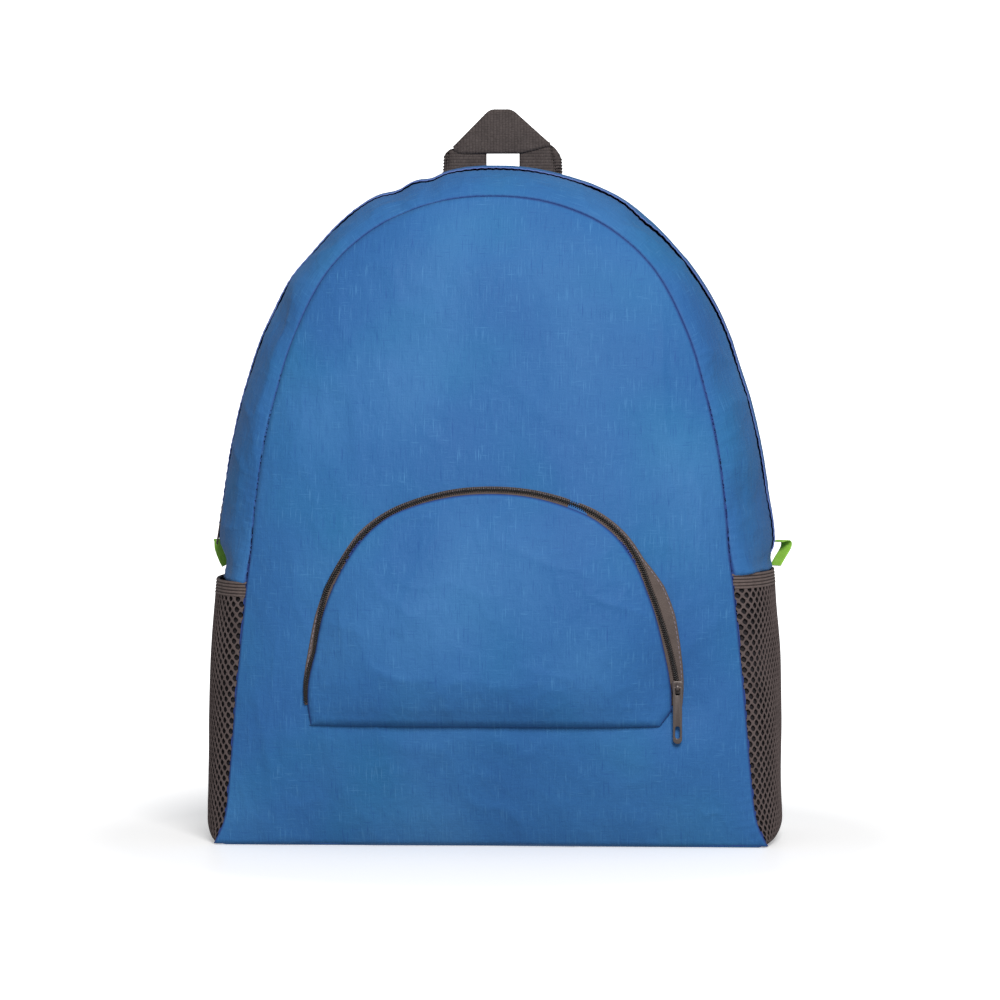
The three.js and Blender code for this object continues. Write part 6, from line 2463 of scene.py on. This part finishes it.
    def build_buckle(self, wardrobe: Wardrobe) -> None:
        """Builds the ladder-lock buckle."""
        x = self.side.sign * self.foot_spread
        middle = self.foot_height - self.buckle_height / 2
        outlines = [rounded_box(x, middle, self.buckle_width / 2, self.buckle_height / 2, 3 * MM)]
        for way in (-1, 1):
            place = middle + way * (self.bar + self.slot) / 2
            outlines.append(rounded_box(x, place, self.buckle_width / 2 - self.bar, self.slot / 2, 1 * MM))
        name = f"strap_ladder_{self.side.word}"
        buckle = plate_piece(
            name, outlines, self.buckle_wall, self.buckle_bevel, wardrobe.plastic, self.buckle_depth
        )
        place_piece(buckle, Slot.PLASTIC, f"strap_buckle_{self.side.word}")

    def build_webbing(self, wardrobe: Wardrobe) -> None:
        """Builds the webbing from the base corner through the buckle."""
        form = self.form
        x = self.side.sign * self.foot_spread
        spread = form.half_width - self.foot_inset
        foot_x = self.side.sign * spread
        deep, _ = self.bar_radius(self.webbing_wall)
        behind = self.buckle_depth - deep
        before = self.buckle_depth + deep
        buckle_foot = self.foot_height - self.buckle_height
        inner = np.array(spread - self.webbing_width / 2)
        foot = self.webbing_foot_height
        anchor = float(form.back_depth(inner, np.array(foot))) + form.clearance + self.webbing_wall / 2
        low, high = np.array([foot_x, anchor, foot]), np.array([x, behind, buckle_foot])
        shares = np.array([(0, 0, 0), (0.4, 0.5, 0.35), (0.85, 0.9, 0.7), (1, 1, 1)])
        start = mix(low, high, shares)
        middle_bar = self.foot_height - 1.5 * self.bar - self.slot
        loop = self.round_bar(x, middle_bar, True, self.webbing_wall)
        finish = np.array(
            [
                (x, before, buckle_foot),
                (x, before + self.webbing_wall, buckle_foot - self.tail * 0.5),
                (x, before, buckle_foot - self.tail),
            ]
        )
        path = smooth_path(np.concatenate([start, loop, finish]), self.ribs.pitch / 4)
        lengths = path_lengths(path)
        raised = self.ribs.raised(lengths)
        base = band_section(self.webbing_width, self.webbing_wall, 5)

        def section(i: int) -> Array:
            """The webbing's section at a point of its path."""
            return base * [1, 1 + 2 * raised[i] / self.webbing_wall]

        maker = Maker()
        swept(maker, path, ACROSS_X, section, crest=self.ribs.crest(lengths))
        piece = maker.build(f"strap_web_{self.side.word}", wardrobe.webbing)
        place_piece(piece, Slot.WEBBING, f"strap_webbing_{self.side.word}")


@dataclass
class RibbonLoop:
    """A green ribbon loop sewn in where the main zipper ends."""

    form: BagForm
    side: Side
    reach: float
    height: float = 15 * MM
    width: float = 8 * MM
    wall: float = 0.6 * MM
    turn: float = 52.0

    def build(self, wardrobe: Wardrobe) -> None:
        """Builds the loop."""
        form = self.form
        turned = math.radians(self.turn)
        out = np.array([self.side.sign * math.cos(turned), math.sin(turned), 0])
        across = np.array([-self.side.sign * math.sin(turned), math.cos(turned), 0])
        start = self.width / 2 * math.sin(turned) + form.seam_gap + self.wall

        def seat(height: Array) -> Array:
            """The loop's seam at heights on the gusset's rim."""
            turn = self.side.sign * (1 - form.along_at(form.rim, height))
            return form.gusset(np.atleast_1d(turn), np.full(np.size(turn), 0.5))

        tip = seat(np.array(form.zipper_end_height + self.height / 2))[0] + out * self.reach
        shares = np.array(
            [(-0.12, 0.44), (0.5, 0.48), (0.92, 0.44), (1, 0.3), (0.84, 0.12), (0.4, -0.22), (-0.12, -0.5)]
        )
        heights = form.zipper_end_height + shares[:, 1] * self.height
        seats = seat(heights) + out * start
        knots = mix(seats, tip, shares[:, :1])
        knots[:, 2] = heights
        path = smooth_path(knots, 0.5 * MM)
        maker = Maker()
        swept(maker, path, across, band_section(self.width, self.wall, 7))
        piece = maker.build(f"ribbon_loop_{self.side.word}", wardrobe.ribbon)
        place_piece(piece, Slot.RIBBON, f"zipper_loop_{self.side.word}")


@dataclass
class Studio:
    """The camera, the lights and the floor."""

    aim: tuple[float, float, float] = (3.2 * MM, 0.0, 197.5 * MM)
    distance: float = 2.4
    elevation: float = 2.0
    yaw: float = 3.0
    lens: float = 147.5
    sensor: float = 36.0
    floor_near: float = -3.0
    floor_bend: float = 1.2
    bend_radius: float = 0.8
    backdrop: float = 3.5
    floor_half: float = 4.0
    floor_gap: float = 0.2 * MM

    def build(self) -> None:
        """Sets up the studio."""
        self.add_camera()
        self.add_floor()
        self.add_lights()
        bpy.context.scene.view_settings.view_transform = "Standard"

    def add_camera(self) -> None:
        """Adds the camera at the photo's angle."""
        up, round_angle = math.radians(self.elevation), math.radians(self.yaw)
        way = Vector(
            (
                math.sin(round_angle) * math.cos(up),
                -math.cos(round_angle) * math.cos(up),
                math.sin(up),
            )
        )
        camera = add_object("camera", bpy.data.cameras.new("camera"))
        camera.data.lens = self.lens
        camera.data.sensor_width = self.sensor
        camera.location = Vector(self.aim) + way * self.distance
        camera.rotation_euler = (-way).to_track_quat("-Z", "Y").to_euler()
        bpy.context.scene.camera = camera

    def add_floor(self) -> None:
        """Adds the floor with a curved backdrop."""
        steps = 12
        turn = np.linspace(0.1, math.pi / 2, steps)
        flat = np.linspace(self.floor_near, self.floor_bend, steps)
        bent = self.floor_bend + self.bend_radius * np.sin(turn)
        run = np.concatenate([flat, bent, [self.floor_bend + self.bend_radius]])
        lift = np.concatenate([np.zeros(steps), self.bend_radius * (1 - np.cos(turn)), [self.backdrop]])
        across = np.linspace(-self.floor_half, self.floor_half, 5)
        grid = point(across[None], run[:, None], lift[:, None])
        maker = Maker()
        maker.add(grid, [grid_faces(*grid.shape[:2])])
        floor = maker.build("floor", FloorFinish().make())
        floor.location.z = cad_low[2] - self.floor_gap
        floor.visible_diffuse = False
        floor.visible_glossy = False

    def add_light(
        self, name: str, place: Sequence[float], size: float, power: float, tint: Sequence[float]
    ) -> None:
        """Adds a soft square light that looks at the bag.

        Args:
            name: The light's name.
            place: Where it stands.
            size: The length of its sides.
            power: Its power in watts.
            tint: Its colour.
        """
        data = bpy.data.lights.new(name, "AREA")
        data.size = size
        data.energy = power
        data.color = tuple(tint)
        light = add_object(name, data)
        light.location = place
        toward = Vector(self.aim) - Vector(place)
        light.rotation_euler = toward.to_track_quat("-Z", "Y").to_euler()

    def add_lights(self) -> None:
        """Adds the world and the soft lights."""
        world = bpy.data.worlds.new("studio")
        world.use_nodes = True
        sky = world.node_tree.nodes["Background"]
        sky.inputs["Color"].default_value = (0.97, 0.98, 1.0, 1.0)
        sky.inputs["Strength"].default_value = 0.4
        bpy.context.scene.world = world
        self.add_light("key", (0.45, -2.05, 1.4), 0.8, 50, (1.0, 0.99, 0.98))
        self.add_light("top", (0.1, 0.2, 2.3), 1.6, 2, (1.0, 1.0, 1.0))


def main() -> None:
    """Builds the bag piece by piece, then the studio."""
    form = BagForm()
    wardrobe = Wardrobe()
    FrontPanel(form).build(wardrobe)
    Gusset(form).build(wardrobe)
    MainZipper(form).build(wardrobe)
    BackAndBase(form).build(wardrobe)
    SidePocket(form, Side.LEFT, form.left_mouth).build(wardrobe)
    SidePocket(form, Side.RIGHT, form.right_mouth).build(wardrobe)
    FrontPocket(form).build(wardrobe)
    SliderAndPull(form).build(wardrobe)
    MainSlider(form).build(wardrobe)
    GrabHandle(form).build(wardrobe)
    for side in Side:
        ShoulderStrap(form, side).build(wardrobe)
    RibbonLoop(form, Side.LEFT, 2.6 * MM, turn=70.0).build(wardrobe)
    RibbonLoop(form, Side.RIGHT, 11.5 * MM).build(wardrobe)
    Studio().build()


if __name__ == "__main__":
    main()
